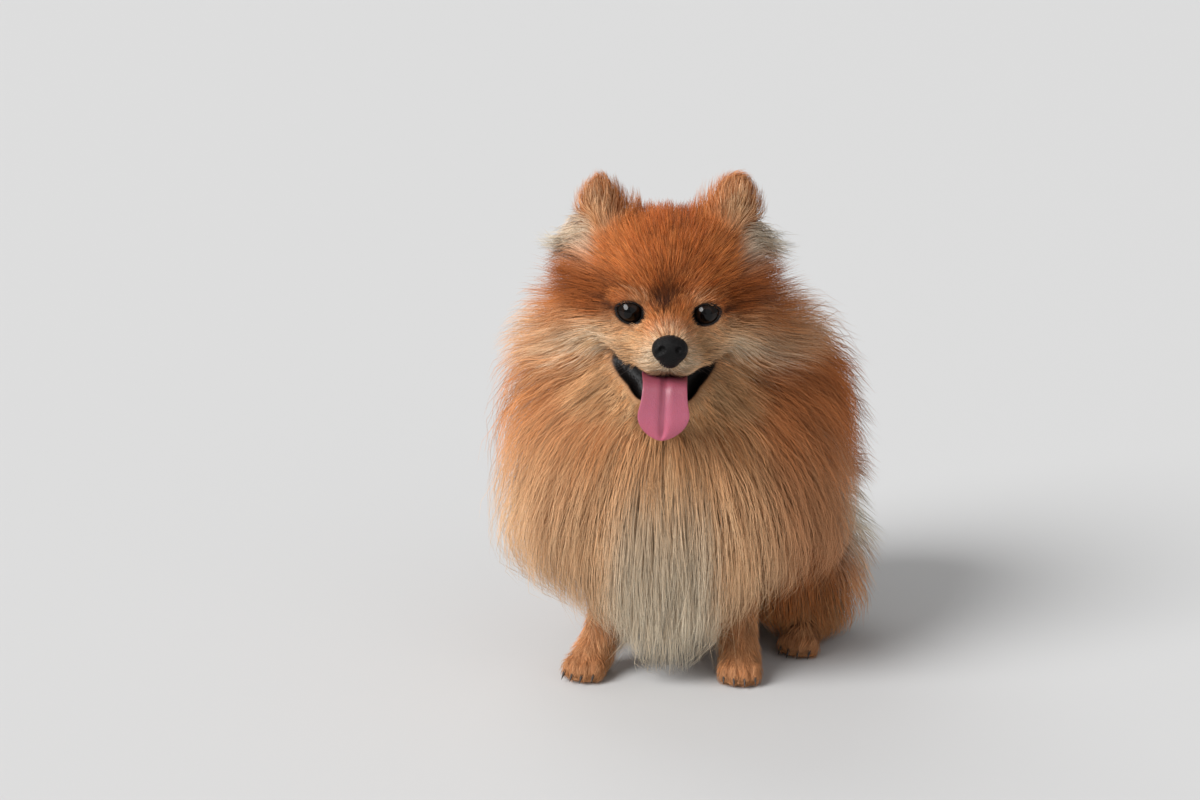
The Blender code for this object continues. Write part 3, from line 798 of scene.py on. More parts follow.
# Coat: for each region the hair's height over the skin, its run along it, its width, hairs for each square
# centimetre, how soon it rises, droop, how firmly it gathers in locks, and stray direction
coat = {
    "crown": dict(height=0.0140, run=0.0120, width=0.00024, density=190, lift=1.3, droop=0.0, lock=0.24, stray=0.12),
    "face": dict(height=0.0062, run=0.0085, width=0.00022, density=230, lift=1.2, droop=0.0, lock=0.20, stray=0.10),
    "muzzle": dict(height=0.0026, run=0.0060, width=0.00026, density=280, lift=1.0, droop=0.0, lock=0.22, stray=0.14),
    "jaw": dict(height=0.0240, run=0.0320, width=0.00028, density=170, lift=1.2, droop=0.4, lock=0.40, stray=0.12),
    "cheek": dict(height=0.0450, run=0.0300, width=0.00027, density=120, lift=1.8, droop=0.5, lock=0.38, stray=0.12),
    "ear": dict(height=0.0055, run=0.0110, width=0.00024, density=150, lift=1.1, droop=0.0, lock=0.50, stray=0.16),
    "neck": dict(height=0.0700, run=0.0560, width=0.00028, density=125, lift=2.8, droop=1.0, lock=0.36, stray=0.08),
    "chest": dict(height=0.0900, run=0.0800, width=0.00029, density=120, lift=2.8, droop=0.7, lock=0.42, stray=0.07),
    "trunk": dict(height=0.0600, run=0.0340, width=0.00044, density=36, lift=1.8, droop=0.5, lock=0.32, stray=0.10),
    "rump": dict(height=0.0500, run=0.0300, width=0.00045, density=36, lift=1.6, droop=0.5, lock=0.34, stray=0.12),
    "thigh": dict(height=0.0400, run=0.0300, width=0.00042, density=50, lift=1.5, droop=0.6, lock=0.32, stray=0.12),
    "tail": dict(height=0.0550, run=0.0420, width=0.00052, density=44, lift=1.2, droop=0.1, lock=0.50, stray=0.14),
    "hindFoot": dict(height=0.0035, run=0.0070, width=0.00028, density=110, lift=1.0, droop=0.0, lock=0.3, stray=0.14),
    "leg": dict(height=0.0045, run=0.0090, width=0.00028, density=130, lift=1.0, droop=0.0, lock=0.35, stray=0.14),
    "paw": dict(height=0.0022, run=0.0052, width=0.00026, density=150, lift=1.0, droop=0.0, lock=0.2, stray=0.14),
}
shortHair = {
    # on the face the hair grows with the distance from this place, and with the gap from mouth and eyes
    "middle": (0.0, -0.0340, 0.1960), "least": 0.0024, "from": 0.022, "knee": 0.034, "slopes": (0.5, 1.7),
    "bareStart": 0.0006, "bareSlopes": (0.40, 2.2), "bareKnee": 0.0050, "runStart": 0.0055, "runSlope": 1.1,
}


def coatValue(key, shares):
    return shares @ np.array([coat[name][key] for name in regions])


def kneeLine(value, knee, slopes):
    return np.minimum(value, knee) * slopes[0] + np.maximum(value - knee, 0.0) * slopes[1]


def hairSize(roots, shares):
    # How high each hair may stand and how far it may run
    height, run = coatValue("height", shares), coatValue("run", shares)
    head = toFrame(roots, "head")
    far = np.linalg.norm(head - shortHair["middle"], axis=1)
    grown = np.maximum(far - shortHair["from"], 0.0)
    onFace = 1 - ramp(far, 0.060, 0.075)
    knee = shortHair["knee"] - shortHair["from"]
    faceHeight = shortHair["least"] + kneeLine(grown, knee, shortHair["slopes"])
    faceRun = shortHair["runStart"] + grown * shortHair["runSlope"]
    gap = np.minimum(mouthDistance(roots), np.minimum(lidGap(roots, "left"), lidGap(roots, "right")))
    gap = np.clip(gap, 0.0, 0.05)
    bareHeight = shortHair["bareStart"] + kneeLine(gap, shortHair["bareKnee"], shortHair["bareSlopes"])
    height = np.minimum(height, np.where(onFace > 0, faceHeight / np.maximum(onFace, 0.05), 1.0))
    run = np.minimum(run, np.where(onFace > 0, faceRun / np.maximum(onFace, 0.05), 1.0))
    height = np.minimum(height, bareHeight)
    run = np.minimum(run, 0.0030 + kneeLine(gap, 0.005, (0.6, 3.0)))
    # The sides of the head stand out to the ruff
    ruff = ramp(np.abs(head[:, 0]), 0.026, 0.042) * (1 - ramp(head[:, 2], 0.232, 0.246)) * coatShare(shares, ("crown", "cheek"))
    height += ruff * 0.0300
    run += ruff * 0.0100
    # Long wisps at the outer foot of the ears, and a tuft at the inner foot of each
    beyond = 0.0025 * coatShare(shares, ("crown", "ear")) + 0.0010 * coatShare(shares, ("muzzle", "face"))
    beyond += coatShare(shares, ("jaw",)) * ramp(gap, 0.001, 0.010) * 0.0060 + ruff * (0.0015 + 0.0060 * ramp(head[:, 2], 0.202, 0.214))
    for name, side in sides.items():
        local = head - earTip[name]
        wisp = ramp(side * local[:, 0], 0.002, 0.010) * bump(local[:, 2], -0.0370, 0.0090)
        height += wisp * 0.0100
        run += wisp * 0.0120
        beyond += wisp * 0.0060 - 0.0015 * coatShare(shares, ("ear",)) * ramp(side * local[:, 0], 0.0, 0.006)
        tuft = bump(side * local[:, 0], -0.0165, 0.0050) * bump(local[:, 1], 0.006, 0.010) * ramp(head[:, 2], 0.226, 0.234)
        height += tuft * 0.0080
        beyond += tuft * 0.0080
    # The coat is nowhere thinner than this, even where its outside dips to the skin
    least = np.minimum(0.0028, 0.0004 + kneeLine(gap, 0.0040, (0.15, 0.9)))
    return height, run, beyond, least


def roomAt(found, least):
    # The depth of the coat at looked-up places
    return np.maximum(found[:, 0] - found[:, 4], least)


def flowAt(points, shares):
    # The lie of the coat, from the regions' shares
    head = toFrame(points, "head")
    headRot = frames["head"][0]
    hindRot = frames["hind"][0]
    px, py, pz = points.T
    zero = np.zeros(len(points))
    one = np.ones(len(points))
    side = np.sign(px)
    fromNose = unit(head - (0, -0.066, 0.190))
    fromStop = unit((head - (0, -0.050, 0.2035)) * (1.2, 1.0, 1.0))
    high = ramp(pz, 0.08, 0.19)
    top = ramp(pz, 0.170, 0.215)
    # Up on the ears, but outward and a little down at their outer foot
    outward = np.zeros(len(points))
    for name, way in sides.items():
        outward += ramp(way * (head[:, 0] - earTip[name][0]), 0.0, 0.008) * (1 - ramp(head[:, 2], 0.236, 0.250))
    earUp = np.stack((np.sign(head[:, 0]) * (0.10 + 1.1 * outward), zero - 0.1, one - 1.3 * outward), axis=1)
    lows = {
        "crown": (fromStop + (0, 0.5, 0.1)) @ headRot.T,
        "face": fromStop @ headRot.T,
        "muzzle": fromNose @ headRot.T,
        "jaw": np.stack((px / 0.020, 0.4 * one, -one), axis=1),
        "cheek": (fromNose * (1.3, 1.0, 1.0) + (0, 0.0, -0.25)) @ headRot.T,
        "ear": earUp @ headRot.T,
        "neck": np.stack((px * (12 + 20 * top) * high, 0.25 + py * 5, -1.0 + 0.9 * top), axis=1),
        "chest": np.stack((px * 8 * high + px * 2, 0.1 * one, -one), axis=1),
        "trunk": np.stack((px * 4, one, -0.7 * one), axis=1) @ hindRot.T,
        "rump": np.stack((zero, 0.6 * one, -one), axis=1) @ hindRot.T,
        "thigh": np.stack((side * 0.1, 0.15 * one, -one), axis=1) @ hindRot.T,
        "tail": np.stack((0.6 * one, -0.4 * one, -0.7 * one), axis=1) @ hindRot.T,
        "hindFoot": np.stack((zero, -one, -0.4 * one), axis=1) @ hindRot.T,
        "leg": np.stack((zero, -0.1 * one, -one), axis=1),
        "paw": np.stack((zero - 0.1, -one, -0.5 * one), axis=1),
    }
    total = sum(shares[:, i : i + 1] * unit(lows[name]) for i, name in enumerate(regions))
    for name in sides:
        # The hair parts round the eyes
        away = points - frames["eye_" + name][1]
        near = np.linalg.norm(away, axis=1, keepdims=True)
        total += unit(away) * 1.4 * np.exp(-((near / 0.0125) ** 2))
    return total


def rootPlaces(count, chooser):
    # Evenly scattered places on the skin, by area times chooser's weight
    a, b, c, d = (skinPoints[skinQuads[:, i]] for i in range(4))
    area = np.linalg.norm(np.cross(c - a, d - b), axis=1) / 2
    weight = area * chooser
    steps = np.cumsum(weight) / weight.sum()
    picks = np.searchsorted(steps, (np.arange(count) + rng.random(count)) / count)
    picks = np.minimum(picks, len(skinQuads) - 1)
    u, v = rng.random(count)[:, None], rng.random(count)[:, None]
    corners = skinPoints[skinQuads[picks]]
    normals = skinNormals[skinQuads[picks]]

    def spread(values):
        return (values[:, 0] * (1 - u) + values[:, 1] * u) * (1 - v) + (values[:, 3] * (1 - u) + values[:, 2] * u) * v

    return spread(corners), unit(spread(normals))


def mouthSlope(points):
    # The way straight off the gap of the mouth, and how near it is
    step = 0.0005
    here = mouthDistance(points)
    slope = [mouthDistance(points + np.eye(3)[axis] * step) - here for axis in range(3)]
    return unit(np.stack(slope, axis=1)), 1 - ramp(here, 0.006, 0.014)


def growHairs(roots, normals, shares, rings):
    # Centre lines of hairs, from the root to the tip, laid between the skin and the outside of the coat
    count = len(roots)
    height, run, beyond, least = hairSize(roots, shares)
    height = height * rng.uniform(0.70, 1.10, count)
    run = run * rng.uniform(0.70, 1.25, count)
    fill = np.clip(rng.beta(3.0, 1.0, count), 0.20, 1.0)
    lift, droop = coatValue("lift", shares), coatValue("droop", shares)
    stray = rng.normal(0, 1, (count, 3)) * coatValue("stray", shares)[:, None]
    line = np.zeros((count, rings + 1, 3))
    line[:, 0] = roots - normals * 0.0003
    place = roots.copy()
    found = lookUp(place)
    for step in range(1, rings + 1):
        part = step / rings
        depth = np.clip(found[:, 0] / roomAt(found, least), 0.0, 1.0)[:, None]
        slope = unit(found[:, 1:4] * (1 - depth) + found[:, 5:8] * depth)
        flow = unit(flowAt(place, shares)) + stray
        flow[:, 2] -= droop * part
        offMouth, nearMouth = mouthSlope(place)
        toMouth = np.minimum(np.einsum("ij,ij->i", flow, offMouth), 0.0) * nearMouth
        flow -= offMouth * toMouth[:, None]
        flow -= slope * np.einsum("ij,ij->i", flow, slope)[:, None]
        size = np.linalg.norm(flow, axis=1, keepdims=True)
        flow = flow / np.maximum(size, 0.25)
        place = place + flow * (run / rings)[:, None]
        found = lookUp(place)
        # Up or down to the hair's own share of the depth of the coat
        room = roomAt(found, least)
        depth = found[:, 0] / room
        rise = 1 - (1 - part) ** lift
        wanted = (np.minimum(height / room, fill) + beyond / room * fill**3) * rise
        slope = unit(found[:, 1:4] * (1 - np.clip(depth, 0, 1))[:, None] + found[:, 5:8] * np.clip(depth, 0, 1)[:, None])
        change = np.clip((wanted - depth) * room, -0.012, 0.030)
        place = place + slope * change[:, None]
        found = lookUp(place)
        line[:, step] = place
    return line, beyond, least


def keepInside(points, over, least):
    # Pulls points back to the outside of the coat and off the floor
    flat = points.reshape(-1, 3)
    over = np.repeat(over, points.shape[1])
    least = np.repeat(least, points.shape[1])
    for _ in range(2):
        found = lookUp(flat)
        out = np.maximum(np.minimum(found[:, 4], found[:, 0] - least) - over, 0.0)
        flat = flat - unit(found[:, 5:8]) * out[:, None]
    flat[:, 2] = np.maximum(flat[:, 2], 0.0006)
    return flat.reshape(points.shape)


def gatherLocks(line, strength, spacing):
    # Draws the hairs of a lock together towards their tips
    count = len(line)
    middle = line[:, line.shape[1] // 2]
    guides = rng.choice(count, max(2, int(count / spacing)), replace=False)
    tree = KDTree(len(guides))
    for i, guide in enumerate(guides):
        tree.insert(middle[guide], i)
    tree.balance()
    chosen = np.array([tree.find(p)[1] for p in middle])
    target = line[guides[chosen]]
    part = np.linspace(0, 1, line.shape[1]) ** 1.3
    pull = (strength * rng.uniform(0.6, 1.0, count))[:, None] * part
    shift = target - line
    far = np.linalg.norm(shift, axis=2, keepdims=True)
    shift *= np.minimum(1.0, 0.010 / np.maximum(far, 1e-6))
    return line + shift * pull[..., None], chosen


def hairMesh(name, line, width, rootColour, tipColour, tone, centre):
    # Solid three-sided hairs that taper to a point
    count, places, _ = line.shape
    rings = places - 1
    along = np.gradient(line, axis=1)
    along = unit(along)
    found = lookUp(line.reshape(-1, 3))
    body = unit(found[:, 1:4] * 0.5 + found[:, 5:8]).reshape(line.shape)
    across = unit(np.cross(along, body))
    over = unit(np.cross(across, along))
    part = np.linspace(0, 1, places)
    taper = (1 - part**1.6 * 0.75)[None, :rings, None] * (width / 2)[:, None, None]
    corners, facing = [], []
    for k in range(3):
        angle = math.tau * (k / 3 + 0.25)
        out = across[:, :rings] * math.cos(angle) + over[:, :rings] * (math.sin(angle) * 0.7)
        corners.append(line[:, :rings] + out * taper)
        facing.append(unit(out + body[:, :rings] * 0.75))
    ringPoints = np.stack(corners, axis=2).reshape(count, rings * 3, 3)
    points = np.concatenate((ringPoints, line[:, rings:]), axis=1)
    ringNormals = np.stack(facing, axis=2).reshape(count, rings * 3, 3)
    pointNormals = np.concatenate((ringNormals, body[:, rings:]), axis=1)
    size = rings * 3 + 1
    faces, corner, height = [(0, 1, 2)], [(0, 1, 2)], [(0, 0, 0)]
    for ring in range(rings - 1):
        for k in range(3):
            a, b = ring * 3 + k, ring * 3 + (k + 1) % 3
            faces += [(b, a, b + 3), (b + 3, a, a + 3)]
            corner += [(k + 1, k, k + 1), (k + 1, k, k)]
            height += [(ring, ring, ring + 1), (ring + 1, ring, ring + 1)]
    for k in range(3):
        a, b = (rings - 1) * 3 + k, (rings - 1) * 3 + (k + 1) % 3
        faces.append((b, a, size - 1))
        corner.append((k + 1, k, k + 0.5))
        height.append((rings - 1, rings - 1, rings))
    allFaces = (np.array(faces)[None] + (np.arange(count) * size)[:, None, None]).reshape(-1, 3)
    obj = meshObject(name, points.reshape(-1, 3), allFaces)
    mesh = obj.data
    level = np.concatenate((np.repeat(part[:rings], 3), [1.0]))
    share = level[None, :, None] ** 1.2
    tint = rootColour[:, None] * (1 - share) + tipColour[:, None] * share
    setColours(mesh, "coat", tint.reshape(-1, 3))
    setNumbers(mesh, "along", np.tile(level, count))
    setNumbers(mesh, "hair", np.repeat(tone, size))
    # Each hair's patch lies at its root's place on an unwrap of the skin round the piece's own middle
    away = line[:, 0] - centre
    flat = np.stack((np.arctan2(away[:, 0], -away[:, 1]), np.arctan2(away[:, 2], np.hypot(away[:, 0], away[:, 1]))), axis=1)
    flat = (flat - flat.min(axis=0)) / np.ptp(flat, axis=0)
    patch = 0.003
    cell = np.floor(flat * (0.994 / patch)) * patch + 0.0015
    u = cell[:, 0][:, None, None] + np.array(corner)[None] / 3 * patch * 0.9
    v = cell[:, 1][:, None, None] + np.array(height)[None] / rings * patch * 0.9
    layer = mesh.uv_layers.new(name="OFBake")
    layer.data.foreach_set("uv", np.stack((u, v), axis=-1).astype(np.float32).ravel())
    mesh.normals_split_custom_set_from_vertices(pointNormals.reshape(-1, 3))
    return obj


def trianglesOf(rings):
    return 1 + (rings - 1) * 6 + 3


quadMiddles = skinPoints[skinQuads].mean(axis=1)
quadShares = skinShares[skinQuads].mean(axis=1)
quadBare = bareShare(quadMiddles)


def coverOf(points):
    # How deep under the outside of the coat a place is
    return -lookUp(points)[:, 4]


quadCover = coverOf(quadMiddles)


def hairChance():
    # Hairs for each square metre over the whole skin
    chance = quadShares @ np.array([coat[name]["density"] for name in regions]) * 1e4
    chance *= quadBare < 0.35
    legs = quadShares[:, [regions.index("leg"), regions.index("paw"), regions.index("hindFoot")]].sum(axis=1)
    chance *= np.where((legs > 0.5) & (quadCover > 0.012), 0.0, 1.0)
    chance *= quadMiddles[:, 2] > 0.0012
    return chance


coatPieces = {
    # regions, rings, locks, part of the piece, slot, middle of its unwrap, triangles at most
    "fur_face": (("face",), 3, 8, None, "red_coat", (0, 0.0, 0.200), 150000),
    "fur_muzzle": (("muzzle",), 2, 8, None, "red_coat", (0, 0.0, 0.190), 110000),
    "fur_cheeks": (("cheek",), 4, 12, None, "tan_coat", (0, 0.0, 0.190), 140000),
    "fur_jaw": (("jaw",), 3, 12, None, "tan_coat", (0, 0.0, 0.190), 80000),
    "fur_crown": (("crown",), 3, 10, None, "red_coat", (0, 0.01, 0.205), 165000),
    "fur_ears": (("ear",), 3, 8, None, "orange_coat", (0, 0.01, 0.205), 80000),
    "fur_mane_left": (("neck", "chest"), 4, 16, "left", "orange_coat", (0, 0.04, 0.13), 150000),
    "fur_mane_front": (("neck", "chest"), 4, 16, "front", "cream_coat", (0, 0.04, 0.13), 195000),
    "fur_mane_right": (("neck", "chest"), 4, 16, "right", "orange_coat", (0, 0.04, 0.13), 150000),
    "fur_back": (("trunk",), 3, 14, None, "orange_coat", (0.03, 0.07, 0.10), 60000),
    "fur_hind": (("rump", "thigh"), 3, 14, None, "tan_coat", (0.04, 0.09, 0.055), 110000),
    "fur_tail": (("tail",), 3, 12, None, "cream_coat", (0.06, 0.12, 0.13), 50000),
    "fur_legs": (("leg", "paw", "hindFoot"), 2, 8, None, "orange_coat", (0.01, 0.03, 0.03), 70000),
}


def inPart(points, part):
    turnAngle = np.degrees(np.arctan2(points[:, 0], -(points[:, 1] - 0.030)))
    if part == "front":
        return np.abs(turnAngle) < 52
    if part == "left":
        return turnAngle >= 52
    if part == "right":
        return turnAngle <= -52
    return np.ones(len(points), bool)


def breechShare(ends):
    # The white hair that shows past the right-hand edge of the mane
    return ramp(ends[:, 0], 0.090, 0.102) * bump(ends[:, 2], 0.060, 0.024) * ramp(ends[:, 1], 0.000, 0.040)


hairTint = {"colourShift": 0.0018, "bodyShift": 0.0050, "lockTint": 0.10, "paleTips": 0.30}


def hairColours(roots, ends, shares, lock):
    # Each hair takes its markings from a place near its root, with tints of its own and of its lock
    count = len(roots)
    onHead = coatShare(shares, ("face", "muzzle", "cheek", "crown", "ear"))
    shift = hairTint["colourShift"] * onHead + hairTint["bodyShift"] * (1 - onHead)
    rootColour, tipColour = markings(roots + rng.normal(0, 1, (count, 3)) * shift[:, None], shares)
    warm = rng.normal(0, hairTint["lockTint"], lock.max() + 1)[lock]
    tint = 1 + warm[:, None] * np.array((0.2, 0.8, 1.4))
    pale = np.maximum(rng.random(count) - 0.4, 0.0) / 0.6 * hairTint["paleTips"] * (1 - 0.5 * onHead)
    pale *= ramp(rootColour.mean(axis=1), 0.03, 0.20)
    rootColour, tipColour = rootColour * tint, mixTo(tipColour * tint, colour["cream"], pale)
    # The ends that hang low are pale, whitest on the bib between the forelegs
    tipX, tipY, tipZ = ends.T
    onMane = coatShare(shares, ("neck", "chest", "jaw"))
    low = (1 - ramp(tipZ, 0.065, 0.120)) * onMane * (1 - 0.5 * ramp(tipX, 0.045, 0.070))
    bib = (1 - ramp(tipZ, 0.050, 0.088)) * (1 - ramp(np.abs(tipX + 0.001), 0.018, 0.034)) * ramp(-tipY, -0.030, 0.000)
    # Rich brown hair runs out over the sides of the head; painted shade deepens the right-hand edge and draws a dark
    # line out from each eye; the breech is white
    tipHead = toFrame(ends, "head")
    reach = np.abs(tipHead[:, 0])
    ruffSide = ramp(reach, 0.018, 0.044) * (1 - ramp(reach, 0.062, 0.072))
    lowEnd = np.where(tipX < 0, 0.1920, 0.1975)
    ruffSide *= ramp(tipHead[:, 2] - lowEnd, 0.0, 0.0060) * (1 - ramp(tipHead[:, 2], 0.214, 0.228))
    ruffSide *= (1 - ramp(tipHead[:, 1], 0.020, 0.040)) * (0.75 + 0.25 * (tipX < 0))
    # Painted shadow: hair tips on the line where brow and cheek hair meet are painted dark
    creaseShadowTips = bump(tipHead[:, 2], 0.2022 + 0.22 * (reach - 0.028), 0.0022) * ramp(reach, 0.0240, 0.0275) * (1 - ramp(reach, 0.038, 0.047))
    # Painted shade: hair ending on the right-hand side of the mane, which lies in shade, is painted deep
    rightEdgeShade = ramp(tipX, 0.045, 0.070) * ramp(tipZ, 0.020, 0.050) * (1 - ramp(tipZ, 0.150, 0.180))
    leftEdge = ramp(-tipX, 0.076, 0.092) * bump(tipZ, 0.115, 0.060)
    wisps = (ramp(tipHead[:, 0], 0.036, 0.050) * 0.85 + ramp(-tipHead[:, 0], 0.040, 0.050) * 0.65) * bump(tipHead[:, 2], 0.2345, 0.0090)
    ruffEdge = ramp(reach, 0.046, 0.056) * bump(tipHead[:, 2], 0.1900, 0.0080)
    breech = breechShare(ends)
    sideTint = np.where(tipX[:, None] > 0, colour["deep"] * 0.7 + colour["brown"] * 0.3, colour["deep"] * 0.35 + colour["brown"] * 0.65)
    tints = (
        (ruffSide, sideTint), (rightEdgeShade * 0.75, colour["deep"]), (leftEdge * 0.7, colour["orange"]),
        (wisps * onHead, colour["white"]), (breech, colour["white"]), (creaseShadowTips * onHead, colour["dark"]),
        (ruffEdge * onHead * 0.6, colour["orange"]),
    )
    for share, tint in tints:
        rootColour = mixTo(rootColour, tint, share * 0.7)
        tipColour = mixTo(tipColour, tint, share)
    tipColour = mixTo(tipColour, colour["cream"], low * 0.85)
    rootColour = mixTo(rootColour, colour["tan"], low * 0.5)
    rootColour = mixTo(rootColour, colour["cream"], bib * onMane * 0.7)
    return rootColour, mixTo(tipColour, colour["white"], bib * onMane * 0.95)


def coatShare(shares, names):
    return shares[:, [regions.index(n) for n in names]].sum(axis=1)


def makeCoatPiece(name, spec, chance):
    members, rings, lockSize, part, slotName, centre, most = spec
    strongest = quadShares.argmax(axis=1)
    inside = np.isin(strongest, [regions.index(m) for m in members]) & inPart(quadMiddles, part)
    a, b, c, d = (skinPoints[skinQuads[:, i]] for i in range(4))
    area = np.linalg.norm(np.cross(c - a, d - b), axis=1) / 2
    wanted = int((area * chance * inside).sum())
    count = min(wanted, most // trianglesOf(rings))
    roots, normals = rootPlaces(count, chance * inside)
    shares = regionShares(roots)
    line, beyond, least = growHairs(roots, normals, shares, rings)
    line, lock = gatherLocks(line, coatValue("lock", shares), lockSize)
    length = np.linalg.norm(np.diff(line, axis=1), axis=2).sum(axis=1)
    curl = rng.normal(0, 1, (count, 1, 3)) * np.linspace(0, 1, rings + 1)[None, :, None] ** 2
    line = line + curl * (length * 0.05)[:, None, None]
    flick = breechShare(line[:, -1])
    line += flick[:, None, None] * (np.linspace(0, 1, rings + 1) ** 2)[None, :, None] * np.array((0.0080, 0.0, -0.0010))
    over = 0.0004 + beyond + np.minimum(length * 0.10, 0.006) * rng.random(count) ** 4 + flick * 0.0070
    line = keepInside(line, over, least)
    width = coatValue("width", shares) * rng.uniform(0.70, 1.25, count)
    rootColour, tipColour = hairColours(roots, line[:, -1], shares, lock)
    lockTone = rng.random(lock.max() + 1)[lock]
    together = 0.60 - 0.25 * coatShare(shares, ("face", "muzzle", "crown"))
    tone = np.clip(together * lockTone + (1 - together) * rng.random(count), 0, 1)
    obj = hairMesh(name, line, width, rootColour, tipColour, tone, np.array(centre))
    finishPiece(obj, coatMaterials[slotName])
    print(name + ":", count, "hairs of", wanted, "wanted,", len(obj.data.polygons), "triangles")
    return obj


coatMaterials = {
    slotName: makeCoatMaterial(slotName.replace("_", " ") + " hair", coatGroup, rootShade, spread)
    for slotName, rootShade, spread in (
        ("orange_coat", 0.38, 1.00), ("red_coat", 0.35, 1.35), ("tan_coat", 0.38, 1.05), ("cream_coat", 0.35, 0.90),
    )
}
allChance = hairChance()
for pieceName, pieceSpec in coatPieces.items():
    makeCoatPiece(pieceName, pieceSpec, allChance)

def loftQuads(rings, around):
    # Quads between the rings of a closed tube, first and last ring included
    index = np.arange(rings * around).reshape(rings, around)
    after = np.roll(index, -1, axis=1)
    return np.stack((index[:-1], after[:-1], after[1:], index[1:]), axis=-1).reshape(-1, 4)


# Eyes: a ball with a raised cornea, dark brown iris and a wide pupil
eyeball = {"rings": 40, "around": 64, "corneaAngleDeg": 44.0, "corneaRise": 0.0007, "pupilDeg": 21.0, "irisDeg": 40.0}


def makeEyeMaterial():
    material, tree, shader = newMaterial("eyeMaterial")
    reader = addNode(tree, "ShaderNodeAttribute", attribute_name="angle")
    streaks = addNode(tree, "ShaderNodeTexNoise")
    streaks.inputs["Scale"].default_value = 1400.0
    place = addNode(tree, "ShaderNodeTexCoord")
    tree.links.new(place.outputs["Object"], streaks.inputs["Vector"])
    rings = addNode(tree, "ShaderNodeValToRGB")
    stops = rings.color_ramp.elements
    stops[0].position = eyeball["pupilDeg"] / 90
    stops[0].color = (0.0015, 0.0012, 0.0012, 1)
    stops[1].position = eyeball["irisDeg"] / 90
    stops[1].color = (0.006, 0.004, 0.003, 1)
    iris = rings.color_ramp.elements.new((eyeball["pupilDeg"] + 3) / 90)
    iris.color = (0.016, 0.007, 0.004, 1)
    tree.links.new(reader.outputs["Fac"], rings.inputs[0])
    shade = mixColour(tree, streaks.outputs[0], (0.6, 0.6, 0.6, 1), (1, 1, 1, 1))
    tree.links.new(mixColour(tree, 1.0, rings.outputs[0], shade, "MULTIPLY"), shader.inputs["Base Color"])
    shader.inputs["Roughness"].default_value = 0.07
    shader.inputs["Specular IOR Level"].default_value = 0.24
    return material


def makeEye(name, material):
    theta = np.linspace(0, math.pi, eyeball["rings"])
    phi = np.linspace(0, math.tau, eyeball["around"], endpoint=False)
    theta, phi = np.meshgrid(theta, phi, indexing="ij")
    local = np.stack((np.sin(theta) * np.cos(phi), -np.cos(theta), np.sin(theta) * np.sin(phi)), axis=-1)
    rise = 1 - ramp(np.degrees(theta), 0.0, eyeball["corneaAngleDeg"])
    local = local * (eye["radius"] + eyeball["corneaRise"] * rise)[..., None]
    quads = loftQuads(eyeball["rings"], eyeball["around"])
    points = fromFrame(local.reshape(-1, 3), "eye_" + name)
    points, quads = closedPoles(points, quads, eyeball["rings"], eyeball["around"])
    obj = meshObject("eye_" + name, points, facesOutward(points, quads))
    angle = np.degrees(theta).ravel() / 90
    setNumbers(obj.data, "angle", np.clip(np.concatenate(([0.0], angle[eyeball["around"] : -eyeball["around"]], [2.0])), 0, 1))
    return finishPiece(obj, material, ["eye_" + name])


def closedPoles(points, quads, rings, around):
    # Makes one vertex of the first ring and one of the last, and returns triangles
    points = np.concatenate((points[:1], points[around:-around], points[-1:]))
    renumber = np.arange(rings * around) - around + 1
    renumber[:around] = 0
    renumber[-around:] = len(points) - 1
    quads = renumber[quads]
    tris = np.concatenate((quads[:, (0, 1, 2)], quads[:, (0, 2, 3)]))
    kept = (tris[:, 0] != tris[:, 1]) & (tris[:, 1] != tris[:, 2]) & (tris[:, 0] != tris[:, 2])
    return points, tris[kept]


eyeMaterial = makeEyeMaterial()
for sideName in sides:
    makeEye(sideName, eyeMaterial)

# Rims of the eyelids: a soft dark tube round each eye, pointed a little at its corners
rim = {"radius": 0.00058, "around": 10}


def tubeAlong(path, radii, around, closed):
    # Rings of points round a path of points; returns points and quads
    ahead = np.roll(path, -1, axis=0) - np.roll(path, 1, axis=0) if closed else np.gradient(path, axis=0)
    ahead = unit(ahead)
    guide = path - path.mean(axis=0)
    first = unit(np.cross(ahead, np.cross(guide, ahead)))
    second = np.cross(ahead, first)
    angle = np.linspace(0, math.tau, around, endpoint=False)
    ring = first[:, None] * np.cos(angle)[None, :, None] + second[:, None] * np.sin(angle)[None, :, None]
    points = (path[:, None] + ring * radii[:, None, None]).reshape(-1, 3)
    quads = loftQuads(len(path), around)
    if closed:
        last = np.arange(around) + (len(path) - 1) * around
        nextLast = np.roll(last, -1)
        seam = np.stack((last, nextLast, np.roll(np.arange(around), -1), np.arange(around)), axis=-1)
        quads = np.concatenate((quads, seam))
    return points, quads


def makeRims(material):
    allPoints, allQuads, start = [], [], 0
    for name in sides:
        path = lidEdge()
        radii = rim["radius"] * (1 + 0.6 * np.abs(path[:, 0] / lid["halfWidth"]) ** 4)
        points, quads = tubeAlong(path, radii, rim["around"], closed=True)
        allPoints.append(fromFrame(points, "eye_" + name))
        allQuads.append(quads + start)
        start += len(points)
    points, quads = np.concatenate(allPoints), np.concatenate(allQuads)
    return finishPiece(meshObject("eye_rims", points, facesOutward(points, quads)), material)


leather = makeLeatherMaterial("noseLeather", grainGroup, (0.0040, 0.0035, 0.0035), 0.44, 1700.0, 0.0004, shine=0.16)
rimLeather = makeLeatherMaterial("rimLeather", grainGroup, (0.0060, 0.0045, 0.0045), 0.50, 1200.0, 0.0002, shine=0.25)
makeRims(rimLeather)

# Nose: leather pad with wings, comma-shaped nostrils and the groove down to the lip
nose = {"place": (0.0, -0.0650, 0.1888), "step": 0.00022, "reach": (0.0115, 0.0090, 0.0115)}





